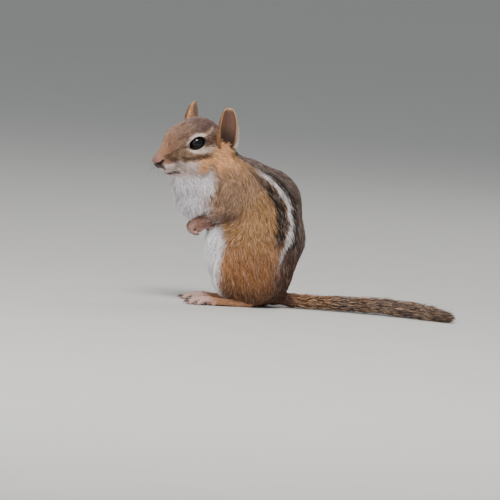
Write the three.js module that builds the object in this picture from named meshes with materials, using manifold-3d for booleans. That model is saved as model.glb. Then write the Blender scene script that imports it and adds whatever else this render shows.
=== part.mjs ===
// A life-size eastern chipmunk that sits up on its haunches with its paws held to its chest,
// its head turned to its left and its tail laid out behind it.
// Millimetres: +Z is up, -Y is the way the body faces and +X is the animal's left side.
// The solids reach to the tips of the short coat, and touching pieces keep a thin gap.
import * as THREE from 'three';
import { mergeVertices } from 'three/addons/utils/BufferGeometryUtils.js';
import Module from 'manifold-3d';

const wasm = await Module();
wasm.setup();

// Driving dimensions
const GAP = 0.3; // left between pieces that touch
const TORSO_STEP = 6; // facet sizes
const NECK_STEP = 4;
const HAUNCH_STEP = 4.0;
const ARM_STEP = 3.4;
const HEAD_STEP = 2.6;

const HEAD_AT = [7, -39.9, 86.7]; // midway between the eyes
const HEAD_YAW = 33.4; // degrees the face turns to the animal's left
const HEAD_PITCH = 11.3; // degrees the nose drops
const HEAD_ROLL = 1.8; // degrees the left side drops

const EYE_AT = [7.7, 1.8, 1.2]; // on the head, left side
const EYE_RADIUS = 4.7;
const EYE_FACES = [0.88, -0.46, 0.1]; // way the pupil looks
const LID_THICKNESS = 0.55;
const LID_OPENING = [4.25, 3.55]; // half-length and half-height of the opening between the lids

const EAR_ROOT = [11.5, 18.3, -3.3]; // on the head, left side
const EAR_LENGTH = 22.6;
const EAR_HALF_WIDTH = 5.2;
const EAR_RISES = [0.17, 0.07, 0.98];
const EAR_OPENS = [0.9, -0.42, 0];
const EAR_THICKNESS = [1.3, 0.75]; // at the root and at the rim

const FOOT_LENGTH = 35;

const deg = THREE.MathUtils.degToRad;
const vec = (p) => new THREE.Vector3(...p);
const mix = THREE.MathUtils.lerp;

// Signed distances: each shape is a function of x, y and z, negative inside.
// tilt leans the top of an egg forward and turn swings its front end outward, in degrees.
function egg([cx, cy, cz], [rx, ry, rz], tilt = 0, turn = 0) {
  const c = Math.cos(deg(tilt));
  const s = Math.sin(deg(tilt));
  const ct = Math.cos(deg(turn));
  const st = Math.sin(deg(turn));
  return (x, y, z) => {
    const x0 = x - cx;
    const y0 = y - cy;
    const z0 = z - cz;
    const x1 = x0 * ct + y0 * st;
    const y1 = y0 * ct - x0 * st;
    const y2 = y1 * c + z0 * s;
    const z2 = z0 * c - y1 * s;
    const far = Math.hypot(x1 / rx, y2 / ry, z2 / rz);
    const steep = Math.hypot(x1 / (rx * rx), y2 / (ry * ry), z2 / (rz * rz));
    return steep < 1e-9 ? -Math.min(rx, ry, rz) : (far * (far - 1)) / steep;
  };
}

// A cone with round ends, from a to b.
function roundCone(a, b, ra, rb) {
  const ba = [b[0] - a[0], b[1] - a[1], b[2] - a[2]];
  const length2 = ba[0] ** 2 + ba[1] ** 2 + ba[2] ** 2;
  const rr = ra - rb;
  const a2 = length2 - rr * rr;
  return (x, y, z) => {
    const pa = [x - a[0], y - a[1], z - a[2]];
    const along = pa[0] * ba[0] + pa[1] * ba[1] + pa[2] * ba[2];
    const beyond = along - length2;
    const across =
      (pa[0] * length2 - ba[0] * along) ** 2 +
      (pa[1] * length2 - ba[1] * along) ** 2 +
      (pa[2] * length2 - ba[2] * along) ** 2;
    const y2 = along * along * length2;
    const z2 = beyond * beyond * length2;
    const k = Math.sign(rr) * rr * rr * across;
    if (Math.sign(beyond) * a2 * z2 > k) return Math.sqrt(across + z2) / length2 - rb;
    if (Math.sign(along) * a2 * y2 < k) return Math.sqrt(across + y2) / length2 - ra;
    return (Math.sqrt((across * a2) / length2) + along * rr) / length2 - ra;
  };
}

function smoothUnion(a, b, blend) {
  const h = Math.max(blend - Math.abs(a - b), 0) / blend;
  return Math.min(a, b) - (h * h * blend) / 4;
}

const joined = (shapes) => (x, y, z) =>
  shapes.reduce((d, [shape, blend]) => smoothUnion(d, shape(x, y, z), blend), 1e3);
const bothSides = (shape) => (x, y, z) => shape(Math.abs(x), y, z);

// Head, in its own frame: its origin lies midway between the eyes and -Y is the way it faces.
const headForm = joined([
  [egg([0, 7, 1.5], [12.8, 15, 12.8]), 1], // skull
  [egg([0, -2.8, 1.6], [9.2, 11.2, 9.3]), 4], // forehead
  [roundCone([0, -4, 3.0], [0, -18.4, -3.9], 6.8, 2.4), 3], // bridge of the nose
  [roundCone([0, -4, -4.2], [0, -17.8, -6.6], 8.2, 3.2), 4], // snout
  [bothSides(egg([3.1, -14.2, -8.3], [3.8, 5.4, 3.9], -12)), 2.5], // whisker pads
  [egg([0, -20.2, -5.2], [2.6, 2.1, 2.3], -12), 1.2], // nose
  [roundCone([0, -2, -11.7], [0, -12.2, -13.6], 6.2, 2.8), 3], // lower jaw
  [bothSides(egg([8.0, 2.5, -7.0], [6.4, 10.5, 9.2], 0, 12)), 5], // cheeks
  [bothSides(egg([8.2, -3.2, -4.2], [4.0, 6.5, 4.2], 10, 14)), 3], // cheekbones
  [bothSides(egg([7.2, -0.4, 6.0], [3.8, 6.4, 3.4], 0, 16)), 3], // brows
  [bothSides(egg([8.8, 19, -1.5], [4, 4.2, 6.5])), 4], // ear roots
]);
const earPits = bothSides(egg([13.2, 15.6, 0.6], [2.8, 2.8, 5.2], -6));
const headShape = (x, y, z) => -smoothUnion(-headForm(x, y, z), earPits(x, y, z), 2);

// Torso, limbs and neck, in the frame of the whole animal.
const bodyShape = joined([
  [egg([0, 5, 19.6], [20.5, 20, 21], 4), 1], // rump
  [egg([0, 3.4, 38.2], [21.5, 27.5, 25], 4), 8], // loins
  [egg([0, -1.3, 58.2], [18.5, 28, 20.4], 4), 10], // ribs
  [egg([0, -7, 27.4], [17, 17.8, 21], 4), 8], // belly
  [egg([0, -23.9, 60.2], [13, 17, 16], 4), 8], // breast
  [egg([0, -12.2, 71.6], [14.5, 15.5, 11], 4), 8], // withers
  [egg([1.5, -23, 80.5], [13.5, 12.3, 14], 4), 8], // neck
  [bothSides(egg([14, 0.2, 24.9], [11.5, 19, 25], 4)), 4], // haunches
  [bothSides(egg([15.5, -10.4, 16.2], [8, 10, 13], 4)), 5], // knees
  [bothSides(egg([15, -10.5, 57.2], [6.5, 9.5, 13], 4)), 5], // upper arms
  [bothSides(roundCone([15.5, -11.7, 48.1], [6.8, -27.6, 45], 6.4, 4.2)), 3.5], // forearms
]);

const headFrame = new THREE.Matrix4().compose(
  vec(HEAD_AT),
  new THREE.Quaternion().setFromEuler(
    new THREE.Euler(deg(HEAD_PITCH), deg(HEAD_ROLL), deg(HEAD_YAW), 'ZXY'),
  ),
  new THREE.Vector3(1, 1, 1),
);

const place = new THREE.Vector3();
const moved = (shape, matrix) => (x, y, z) => {
  place.set(x, y, z).applyMatrix4(matrix);
  return shape(place.x, place.y, place.z);
};
const HEAD_BLEND = 6;
const headOnBody = moved(headShape, headFrame.clone().invert());
const whole = (x, y, z) =>
  smoothUnion(bodyShape(x, y, z), headOnBody(x, y, z), HEAD_BLEND);

// A closed manifold from points and triangles, turned to face out.
function solidOf(points, triangles) {
  const make = (faces) =>
    new wasm.Manifold(
      new wasm.Mesh({
        numProp: 3,
        vertProperties: new Float32Array(points.flat()),
        triVerts: new Uint32Array(faces.flat()),
      }),
    );
  const made = make(triangles);
  return made.volume() < 0 ? make(triangles.map(([a, b, c]) => [a, c, b])) : made;
}

// A three.js geometry, moved by a matrix, as a manifold.
function solidFrom(geometry, matrix = new THREE.Matrix4()) {
  const bare = geometry.clone();
  bare.deleteAttribute('normal');
  bare.deleteAttribute('uv');
  const merged = mergeVertices(bare.applyMatrix4(matrix), 1e-4);
  const at = merged.attributes.position;
  const points = Array.from({ length: at.count }, (_, i) => [at.getX(i), at.getY(i), at.getZ(i)]);
  const index = [...merged.index.array];
  const triangles = [];
  for (let i = 0; i < index.length; i += 3) {
    const face = index.slice(i, i + 3);
    if (new Set(face).size === 3) triangles.push(face);
  }
  return solidOf(points, triangles);
}

// The surface where a shape's distance is 0, as a net with one point in each cell that it crosses.
// The box's own walls close the net where the shape runs out of the box.
function surfaceNet(shape, low, high, step) {
  const n = low.map((v, i) => Math.ceil((high[i] - v) / step) + 1);
  const id = (i, j, k) => (k * n[1] + j) * n[0] + i;
  const value = new Float32Array(n[0] * n[1] * n[2]);
  const wall = (i, j, k) =>
    i === 0 || j === 0 || k === 0 || i === n[0] - 1 || j === n[1] - 1 || k === n[2] - 1;
  for (let k = 0; k < n[2]; k++)
    for (let j = 0; j < n[1]; j++)
      for (let i = 0; i < n[0]; i++) {
        const d = shape(low[0] + i * step, low[1] + j * step, low[2] + k * step);
        value[id(i, j, k)] = wall(i, j, k) ? Math.max(d, step / 4) : d;
      }
  const corners = [0, 1, 2, 3, 4, 5, 6, 7].map((c) => [c & 1, (c >> 1) & 1, c >> 2]);
  const edges = [];
  corners.forEach((a, i) =>
    corners.forEach((b, j) => {
      if (i < j && Math.abs(a[0] - b[0]) + Math.abs(a[1] - b[1]) + Math.abs(a[2] - b[2]) === 1)
        edges.push([i, j]);
    }),
  );
  const pointOf = new Map();
  const points = [];
  for (let k = 0; k < n[2] - 1; k++)
    for (let j = 0; j < n[1] - 1; j++)
      for (let i = 0; i < n[0] - 1; i++) {
        const v = corners.map(([a, b, c]) => value[id(i + a, j + b, k + c)]);
        const sum = [0, 0, 0];
        let crossed = 0;
        for (const [a, b] of edges) {
          if (v[a] < 0 === v[b] < 0) continue;
          const t = v[a] / (v[a] - v[b]);
          for (let q = 0; q < 3; q++) sum[q] += mix(corners[a][q], corners[b][q], t);
          crossed++;
        }
        if (!crossed) continue;
        pointOf.set(id(i, j, k), points.length);
        const cell = [i, j, k];
        points.push(sum.map((s, q) => low[q] + (cell[q] + s / crossed) * step));
      }
  for (const p of points) settle(shape, p, low, high, step);
  const triangles = [];
  const stride = [1, n[0], n[0] * n[1]];
  for (let k = 0; k < n[2] - 1; k++)
    for (let j = 0; j < n[1] - 1; j++)
      for (let i = 0; i < n[0] - 1; i++)
        for (let axis = 0; axis < 3; axis++) {
          const here = id(i, j, k);
          const inside = value[here] < 0;
          if (inside === value[here + stride[axis]] < 0) continue;
          const u = stride[(axis + 1) % 3];
          const w = stride[(axis + 2) % 3];
          const quad = [here, here - u, here - u - w, here - w].map((c) => pointOf.get(c));
          if (!inside) quad.reverse();
          const gap = (a, b) => Math.hypot(...points[a].map((v, q) => v - points[b][q]));
          if (gap(quad[0], quad[2]) <= gap(quad[1], quad[3]))
            triangles.push([quad[0], quad[1], quad[2]], [quad[0], quad[2], quad[3]]);
          else triangles.push([quad[1], quad[2], quad[3]], [quad[1], quad[3], quad[0]]);
        }
  return solidOf(points, triangles);
}

// Slides a point onto the surface along the slope, unless it belongs to a wall of the box.
function settle(shape, p, low, high, step) {
  if (p.some((v, q) => v < low[q] + step || v > high[q] - step)) return;
  const e = 0.05;
  for (let turn = 0; turn < 3; turn++) {
    const d = shape(...p);
    const slope = [0, 1, 2].map((q) => {
      const more = [...p];
      more[q] += e;
      return (shape(...more) - d) / e;
    });
    const size = Math.hypot(...slope) ** 2;
    if (Math.abs(d) > step || size < 0.04) return;
    for (let q = 0; q < 3; q++) p[q] -= (d * slope[q]) / size;
  }
}

// A closed body through rings of points. A ring of one point makes a pointed end.
function loft(rings) {
  const points = [];
  const starts = rings.map((ring) => points.push(...ring) - ring.length);
  const triangles = [];
  for (let r = 0; r + 1 < rings.length; r++) {
    const [a, b] = [starts[r], starts[r + 1]];
    const [na, nb] = [rings[r].length, rings[r + 1].length];
    const n = Math.max(na, nb);
    for (let i = 0; i < n; i++) {
      const j = (i + 1) % n;
      if (na > 1) triangles.push([a + i, a + j, b + (nb > 1 ? j : 0)]);
      if (nb > 1) triangles.push([a + (na > 1 ? i : 0), b + j, b + i]);
    }
  }
  for (const r of [0, rings.length - 1])
    for (let i = 1; i + 1 < rings[r].length; i++) {
      const cap = [starts[r], starts[r] + i, starts[r] + i + 1];
      triangles.push(r === 0 ? cap.reverse() : cap);
    }
  return solidOf(points, triangles);
}

// Rings for loft() along a smooth path: each station has its radii sideways and upward.
// The ends close in a point, drawn out by tipOut.
function limbRings(path, radii, sides, steps, up = new THREE.Vector3(0, 0, 1), tipOut = 0.6) {
  const curve = new THREE.CatmullRomCurve3(path.map(vec));
  const rings = [];
  const radiusAt = (t) => {
    const s = t * (radii.length - 1);
    const i = Math.min(Math.floor(s), radii.length - 2);
    return [0, 1].map((q) => mix(radii[i][q], radii[i + 1][q], s - i));
  };
  for (let i = 0; i <= steps; i++) {
    const t = i / steps;
    const at = curve.getPoint(t);
    const along = curve.getTangent(t);
    const side = new THREE.Vector3().crossVectors(up, along).normalize();
    const top = new THREE.Vector3().crossVectors(along, side);
    const [rs, ru] = radiusAt(t);
    if (i === 0) rings.push([at.clone().addScaledVector(along, -rs * tipOut).toArray()]);
    rings.push(
      Array.from({ length: sides }, (_, s) => {
        const angle = (2 * Math.PI * s) / sides;
        return at
          .clone()
          .addScaledVector(side, rs * Math.cos(angle))
          .addScaledVector(top, ru * Math.sin(angle))
          .toArray();
      }),
    );
    if (i === steps) rings.push([at.clone().addScaledVector(along, rs * tipOut).toArray()]);
  }
  return rings;
}

const tube = (...args) => loft(limbRings(...args));
const union = (solids) => solids.reduce((a, b) => a.add(b));
const largest = (solid) =>
  solid.decompose().reduce((a, b) => (b.volume() > a.volume() ? b : a));

// Everything on one side of a plane, as a box far larger than the animal.
const FAR = 400;
function halfSpace(point, normal) {
  const turn = new THREE.Quaternion().setFromUnitVectors(
    new THREE.Vector3(0, 0, 1),
    vec(normal).normalize(),
  );
  const middle = vec(normal).normalize().multiplyScalar(FAR / 2).add(vec(point));
  const matrix = new THREE.Matrix4().compose(middle, turn, new THREE.Vector3(1, 1, 1));
  return solidFrom(new THREE.BoxGeometry(FAR, FAR, FAR), matrix);
}

const aboveFloor = halfSpace([0, 0, 0], [0, 0, 1]);

// The planes that part head, neck, torso and tail, each with its gap split between the two sides.
function cut(point, normal) {
  const n = vec(normal).normalize();
  const shift = (s) => vec(point).addScaledVector(n, (s * GAP) / 2).toArray();
  return {
    front: halfSpace(shift(1), n.toArray()),
    back: halfSpace(shift(-1), n.clone().negate().toArray()),
  };
}

const NAPE_CUT = { point: [0, 21, 0], normal: [0, -0.726, 0.688] }; // on the head
const napePoint = vec(NAPE_CUT.point).applyMatrix4(headFrame).toArray();
const napeNormal = vec(NAPE_CUT.normal).transformDirection(headFrame).toArray();
const napeCut = cut(napePoint, napeNormal);
const shoulderCut = cut([0, 0.8, 75.2], [0, -0.508, 0.861]);

// Regions of the left arm and haunch, which part them from the torso.
const SEAM_STEP = 4.4; // facet size of the cuts
const armRegion = joined([
  [roundCone([15.5, -7, 67.5], [17, -8.8, 57.3], 5, 9), 1],
  [roundCone([17, -8.8, 57.3], [16, -12.2, 48.6], 9, 9), 4],
  [roundCone([16, -12.2, 48.6], [11, -20.5, 45.5], 9, 7.5), 4],
  [roundCone([11, -20.5, 45.5], [6.4, -29.4, 44.9], 7.5, 6.6), 4],
]);
const haunchRegion = egg([14, 0, 23.9], [18, 20.5, 25.5]);
const HAUNCH_INNER_X = 10.5;

// A region as a solid on one side of the body. grow widens it for the torso's side of the cut.
const grown = (region, side, grow) => (x, y, z) => region(x * side, y, z) - grow;
function armCutter(side, grow = 0) {
  const [x0, x1] = side > 0 ? [-5, 31] : [-31, 5];
  const cutter = surfaceNet(grown(armRegion, side, grow), [x0, -41, 34], [x1, 6, 78], SEAM_STEP);
  return grow > 0 ? cutter.add(armCutter(side)) : cutter;
}

function haunchCutter(side, grow = 0) {
  const [x0, x1] = side > 0 ? [-8, 36] : [-36, 8];
  const form = surfaceNet(grown(haunchRegion, side, grow), [x0, -25, -8], [x1, 25, 54], SEAM_STEP);
  return form.intersect(halfSpace([side * (HAUNCH_INNER_X - grow), 0, 0], [side, 0, 0]));
}

// Torso and limbs are regions of one form.
function torso() {
  const form = surfaceNet(whole, [-32, -52, -5], [32, 36, 92], TORSO_STEP);
  const cutters = [1, -1].flatMap((side) => [armCutter(side, GAP), haunchCutter(side, GAP)]);
  const kept = form
    .intersect(shoulderCut.back)
    .intersect(aboveFloor)
    .subtract(union(cutters));
  return largest(kept);
}

function haunch(side) {
  const [x0, x1] = side > 0 ? [5, 31] : [-31, -5];
  const form = surfaceNet(whole, [x0, -29, -4], [x1, 24, 56], HAUNCH_STEP);
  return largest(
    form
      .intersect(haunchCutter(side))
      .intersect(aboveFloor)
      .subtract(armCutter(side, GAP)),
  );
}

const WRIST = [6.6, -27.6, 45]; // left side
const WRIST_FACES = [-0.35, -0.85, -0.4];
const wristCut = (side) => cut([WRIST[0] * side, WRIST[1], WRIST[2]],
  [WRIST_FACES[0] * side, WRIST_FACES[1], WRIST_FACES[2]]);

function arm(side) {
  const [x0, x1] = side > 0 ? [-3, 31] : [-31, 3];
  const form = surfaceNet(whole, [x0, -42, 30], [x1, 6, 82], ARM_STEP);
  return largest(
    form.intersect(armCutter(side)).intersect(shoulderCut.back).intersect(wristCut(side).back),
  );
}

function neck() {
  const form = surfaceNet(whole, [-24, -58, 44], [28, 10, 102], NECK_STEP);
  return largest(form.intersect(shoulderCut.front).intersect(napeCut.back));
}

// A claw: a thin curved cone from its root to its tip.
function claw(root, tip, radius, drop) {
  const middle = root.map((v, q) => (v + tip[q]) / 2 + (q === 2 ? drop : 0));
  return tube([root, middle, tip], [[radius, radius], [radius * 0.75, radius * 0.8], [0.28, 0.28]],
    4, 2, new THREE.Vector3(1, 0, 0));
}

// Front paw: palm, four curled fingers and a small thumb.
function hand(side) {
  const flip = (path) => path.map(([x, y, z]) => [x * side, y, z]);
  const palm = tube(
    flip([[6.9, -25.4, 45], [6.2, -29.4, 44.1], [5.6, -32.3, 41.8]]),
    [[4.0, 4.2], [4.3, 4.2], [4.0, 3.2]],
    10,
    5,
  );
  const fingers = [0, 1, 2, 3].flatMap((i) => {
    const x = 2.7 + 1.95 * i;
    const curl = i === 0 || i === 3 ? 0.8 : 0; // outer fingers are shorter
    const tip = [x * 0.97, -31 + curl, 37.4 + curl * 0.5];
    const joints = [[x, -31.6, 42.6], [x, -34.6 + curl, 41], [x, -34 + curl, 38.7], tip];
    const end = [tip[0], tip[1] + 2.1, tip[2] + 0.1];
    return [
      tube(flip(joints), [[1.2, 1.3], [1.25, 1.25], [1.05, 1.05], [0.95, 0.95]], 5, 4,
        new THREE.Vector3(1, 0, 0)),
      claw(flip([tip])[0], flip([end])[0], 0.6, -0.5),
    ];
  });
  const thumb = tube(flip([[3.4, -28.6, 42], [2.6, -30.2, 40]]), [[1.1, 1.1], [0.8, 0.8]], 6, 2);
  return largest(union([palm, thumb, ...fingers]).intersect(wristCut(side).front));
}

// Hind foot: a long sole with five arched toes.
const FOOT_HEEL = [14.2, 1.2, 2.6];
const FOOT_SPLAY = 5; // degrees
const FOOT_FORWARD = { 1: 0, [-1]: 1.2 }; // the right foot stands a little ahead
const TOES = [
  // sideways at the ball, where it starts and how far it reaches, as shares of the foot's length
  { across: -3.5, from: 0.6, to: 0.82 },
  { across: -1.9, from: 0.66, to: 0.955 },
  { across: 0.0, from: 0.68, to: 0.985 },
  { across: 1.9, from: 0.66, to: 0.96 },
  { across: 3.7, from: 0.58, to: 0.84 },
];
const KNUCKLE_HEIGHT = 4.1;

function foot(side) {
  const c = Math.cos(deg(FOOT_SPLAY));
  const s = Math.sin(deg(FOOT_SPLAY));
  const at = (across, forward, z) => {
    const x = FOOT_HEEL[0] + across * c + forward * s;
    return [x * side, FOOT_HEEL[1] - FOOT_FORWARD[side] - forward * c + across * s, z];
  };
  const L = FOOT_LENGTH;
  const sole = tube(
    [at(0, 0, 2.5), at(0, L * 0.2, 2.2), at(0, L * 0.45, 2.1), at(0, L * 0.66, 2.3)],
    [[2.6, 2.9], [2.8, 2.6], [3.5, 2.4], [4.2, 2.2]],
    10,
    5,
  );
  const toes = TOES.flatMap(({ across, from, to }) => {
    const reach = (to - from) * L;
    const y0 = from * L;
    const spread = across * 0.22;
    const joints = [
      at(across * 0.8, y0 - 3, 2.2),
      at(across, y0 + reach * 0.3, KNUCKLE_HEIGHT - 0.4),
      at(across + spread * 0.6, y0 + reach * 0.58, KNUCKLE_HEIGHT - 0.7),
      at(across + spread, y0 + reach, 1.1),
    ];
    return [
      tube(joints, [[1.5, 1.9], [1.45, 1.7], [1.25, 1.4], [1.05, 1.05]], 6, 3),
      claw(at(across + spread, y0 + reach + 0.3, 1.5),
        at(across + spread * 1.2, y0 + reach + 2.7, 0.75), 0.62, 0.45),
    ];
  });
  const [x0, x1] = side > 0 ? [5, 31] : [-31, -5];
  const clear = surfaceNet((x, y, z) => whole(x, y, z) - GAP, [x0, -29, -4], [x1, 24, 28], HAUNCH_STEP);
  return largest(union([sole, ...toes]).intersect(aboveFloor).subtract(clear));
}

// Tail: three lengths of a brush laid on the floor. A slender core carries rows of tapered
// locks, which lie back over one another and thin out to their tips.
const TAIL_PATH = [
  [0, 15, 5.6],
  [0.3, 24, 4.4],
  [1.6, 36, 4.2],
  [4.6, 52, 4.6],
  [10, 70, 5.0],
  [18, 86, 4.8],
  [27.5, 99.5, 4.0],
  [32, 105, 3.4],
];
const TAIL_BRUSH = [
  // half-width and half-height at each point of the path
  [4.2, 4.0],
  [4.6, 4.1],
  [5.0, 4.3],
  [5.6, 4.7],
  [6.0, 5.1],
  [5.9, 5.0],
  [4.6, 3.9],
  [1.2, 1.2],
];
const TAIL_CUTS = [52, 78]; // where the lengths part, along Y
const TAIL_CORE = 0.5; // share of the brush that the core fills
const LOCK_ROWS = [17, 28, 39, 50, 61, 72, 83, 93]; // where they root, along Y
const LOCKS_IN_ROW = 5;
const LOCK_LENGTH = 17;
const LOCK_WIDTH = 5.4;

// Seeded numbers between 0 and 1.
function numbersFrom(seed) {
  let state = seed;
  return () => {
    state = (state * 1664525 + 1013904223) % 4294967296;
    return state / 4294967296;
  };
}

// A point of the brush: y along the tail, angle round it, share of the way out from its middle.
const tailCurve = new THREE.CatmullRomCurve3(TAIL_PATH.map(vec));
function brushPoint(y, angle, share) {
  const last = TAIL_PATH.length - 1;
  const i = Math.min(TAIL_PATH.filter((p) => p[1] <= y).length, last) - 1;
  const part = Math.min((y - TAIL_PATH[i][1]) / (TAIL_PATH[i + 1][1] - TAIL_PATH[i][1]), 1);
  const at = tailCurve.getPoint((i + part) / last);
  const along = tailCurve.getTangent((i + part) / last);
  const side = new THREE.Vector3(along.y, -along.x, 0).normalize();
  const wide = mix(TAIL_BRUSH[i][0], TAIL_BRUSH[i + 1][0], part) * share;
  const high = mix(TAIL_BRUSH[i][1], TAIL_BRUSH[i + 1][1], part) * share;
  at.addScaledVector(side, Math.cos(angle) * wide);
  return [at.x, at.y, at.z + Math.sin(angle) * high];
}

function tailLocks() {
  const random = numbersFrom(7);
  return LOCK_ROWS.flatMap((y, row) =>
    Array.from({ length: LOCKS_IN_ROW }, (_, i) => {
      const angle = (2 * Math.PI * (i + (row % 2) / 2 + random() * 0.3)) / LOCKS_IN_ROW;
      const root = y + random() * 3;
      const length = LOCK_LENGTH * (0.85 + random() * 0.35);
      const reach = 0.9 + random() * 0.14;
      const drift = (random() - 0.5) * 0.5;
      const path = [0, 0.3, 0.66, 1].map((t, k) =>
        brushPoint(root + length * t, angle + drift * t, [0.2, 0.66, 0.92, 1][k] * (k > 1 ? reach : 1)));
      const half = (LOCK_WIDTH / 2) * (0.8 + random() * 0.35) * (root > 88 ? 0.7 : 1);
      const up = new THREE.Vector3(Math.cos(angle), 0, Math.sin(angle));
      return tube(path, [[half * 0.8, 0.8], [half, 1], [half * 0.8, 0.75], [0.3, 0.3]], 4, 3, up, 1);
    }));
}

function tailLengths() {
  const core = tube(TAIL_PATH, TAIL_BRUSH.map((radii) => radii.map((r) => r * TAIL_CORE)), 6, 10);
  const brush = union([core, ...tailLocks()]).intersect(aboveFloor);
  const cuts = TAIL_CUTS.map((y) => cut([0, y, 0], [0.2, 1, 0]));
  const rump = surfaceNet((x, y, z) => whole(x, y, z) - GAP, [-15, 8, -8], [15, 40, 24], TORSO_STEP);
  return [
    largest(brush.intersect(cuts[0].back).subtract(rump)),
    largest(brush.intersect(cuts[0].front).intersect(cuts[1].back)),
    largest(brush.intersect(cuts[1].front)),
  ];
}

// Head: the form with lids, sockets, nostrils and the line of the mouth, in the head's own frame.
const headBodyBlend = (x, y, z) => {
  const outside = moved(bodyShape, headFrame);
  return smoothUnion(outside(x, y, z), headShape(x, y, z), HEAD_BLEND);
};

const eyeFrame = (side) => {
  const faces = vec(EYE_FACES).normalize();
  faces.x *= side;
  const level = new THREE.Vector3().crossVectors(new THREE.Vector3(0, 0, 1), faces).normalize();
  const up = new THREE.Vector3().crossVectors(faces, level);
  const matrix = new THREE.Matrix4().makeBasis(level, up, faces);
  return matrix.setPosition(EYE_AT[0] * side, EYE_AT[1], EYE_AT[2]);
};

const ball = (radius) => new THREE.SphereGeometry(radius, 14, 8);

function head() {
  const form = surfaceNet(headBodyBlend, [-18, -27, -26], [18, 36, 18], HEAD_STEP);
  const kept = form.intersect(cut(NAPE_CUT.point, NAPE_CUT.normal).front);
  const rims = [1, -1].map((side) =>
    solidFrom(ball(EYE_RADIUS + GAP + LID_THICKNESS), eyeFrame(side)));
  const openings = [1, -1].map((side) =>
    solidFrom(
      new THREE.CylinderGeometry(1, 1, 12, 20)
        .rotateX(Math.PI / 2)
        .scale(LID_OPENING[0], LID_OPENING[1], 1)
        .translate(0, 0, 6),
      eyeFrame(side),
    ));
  const sockets = [1, -1].map((side) => solidFrom(ball(EYE_RADIUS + GAP), eyeFrame(side)));
  const nostrils = [1, -1].map((side) =>
    tube([[1.0 * side, -23, -6.4], [1.9 * side, -21.6, -6.1], [2.7 * side, -20.3, -5.2]],
      [[0.5, 0.5], [0.6, 0.75], [0.3, 0.35]], 6, 4));
  const hollows = union([...openings, ...sockets, ...nostrils, mouthLine()]);
  return largest(union([kept, ...rims]).subtract(hollows));
}

// A thin wedge that runs round the muzzle under the lips.
function mouthLine() {
  const line = [[5.6, -9, -12.2], [5.0, -11.8, -12.7], [3.4, -15, -12.8], [1.2, -17.2, -12.1], [0, -17.8, -11.5]];
  const path = [...line, ...line.slice(0, -1).reverse().map(([x, y, z]) => [-x, y, z])];
  return tube(path, [[0.9, 0.28], [1.2, 0.4], [1.2, 0.4], [1.2, 0.4], [0.9, 0.28]], 5, 16,
    new THREE.Vector3(0, 0, 1));
}

// Ear: a curved shell, cupped at its root and rounded at its tip, in the head's frame.
function ear(side) {
  const rows = 8;
  const columns = 8;
  const rises = vec(EAR_RISES).normalize();
  const opens = vec(EAR_OPENS);
  opens.addScaledVector(rises, -opens.dot(rises)).normalize();
  const across = new THREE.Vector3().crossVectors(rises, opens);
  const WIDEST = 0.5; // of the way up
  const sheet = (face) => {
    const grid = [];
    for (let i = 0; i <= rows; i++) {
      const s = Math.min(i / rows, 0.985);
      const past = (s - WIDEST) / (1 - WIDEST);
      const half = EAR_HALF_WIDTH *
        (s > WIDEST ? Math.sqrt(1 - past * past) : 1 - 0.3 * past * past);
      const bend = deg(mix(88, 52, Math.min(1, s * 1.15)));
      const radius = half / Math.sin(bend);
      const thick = mix(EAR_THICKNESS[0], EAR_THICKNESS[1], s) / 2;
      const axis = vec(EAR_ROOT)
        .addScaledVector(rises, s * EAR_LENGTH)
        .addScaledVector(opens, 1.6 * s * (1 - s) * 2);
      const row = [];
      for (let j = 0; j <= columns; j++) {
        const angle = mix(-bend, bend, j / columns);
        const out = across.clone().multiplyScalar(Math.sin(angle)).addScaledVector(opens, -Math.cos(angle));
        const p = axis
          .clone()
          .addScaledVector(opens, radius)
          .addScaledVector(out, radius + face * thick);
        row.push([p.x * side, p.y, p.z]);
      }
      grid.push(row);
    }
    return grid;
  };
  const outer = sheet(1);
  const inner = sheet(-1);
  const rings = outer.map((row, i) => [...row, ...inner[i].slice().reverse()]);
  return loft(rings);
}

function earOnHead(side) {
  const [x0, x1] = side > 0 ? [2, 22] : [-22, -2];
  const clear = surfaceNet((x, y, z) => headBodyBlend(x, y, z) - GAP,
    [x0, 2, -14], [x1, 36, 18], HEAD_STEP);
  return largest(ear(side).subtract(clear));
}

// Materials
const FUR = { roughness: 0.9, metalness: 0 };
const coats = {
  tawny: new THREE.MeshStandardMaterial({ color: 0x9a6f48, ...FUR }),
  orange: new THREE.MeshStandardMaterial({ color: 0xb9793f, ...FUR }),
  grizzled: new THREE.MeshStandardMaterial({ color: 0x7d6552, ...FUR }),
  ear: new THREE.MeshStandardMaterial({ color: 0x8a5f4c, ...FUR }),
  paw: new THREE.MeshStandardMaterial({ color: 0xc08f78, ...FUR }),
  eye: new THREE.MeshStandardMaterial({ color: 0x0a0a0c, roughness: 0.08, metalness: 0 }),
};

function mesh(name, solid, material) {
  const { numProp, vertProperties, triVerts } = solid.getMesh();
  const position = new Float32Array((vertProperties.length / numProp) * 3);
  for (let i = 0; i < position.length / 3; i++)
    position.set(vertProperties.subarray(i * numProp, i * numProp + 3), i * 3);
  const geometry = new THREE.BufferGeometry();
  geometry.setAttribute('position', new THREE.BufferAttribute(position, 3));
  geometry.setIndex(new THREE.BufferAttribute(new Uint32Array(triVerts), 1));
  geometry.computeVertexNormals();
  const made = new THREE.Mesh(geometry, material);
  made.name = name;
  return made;
}

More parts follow.
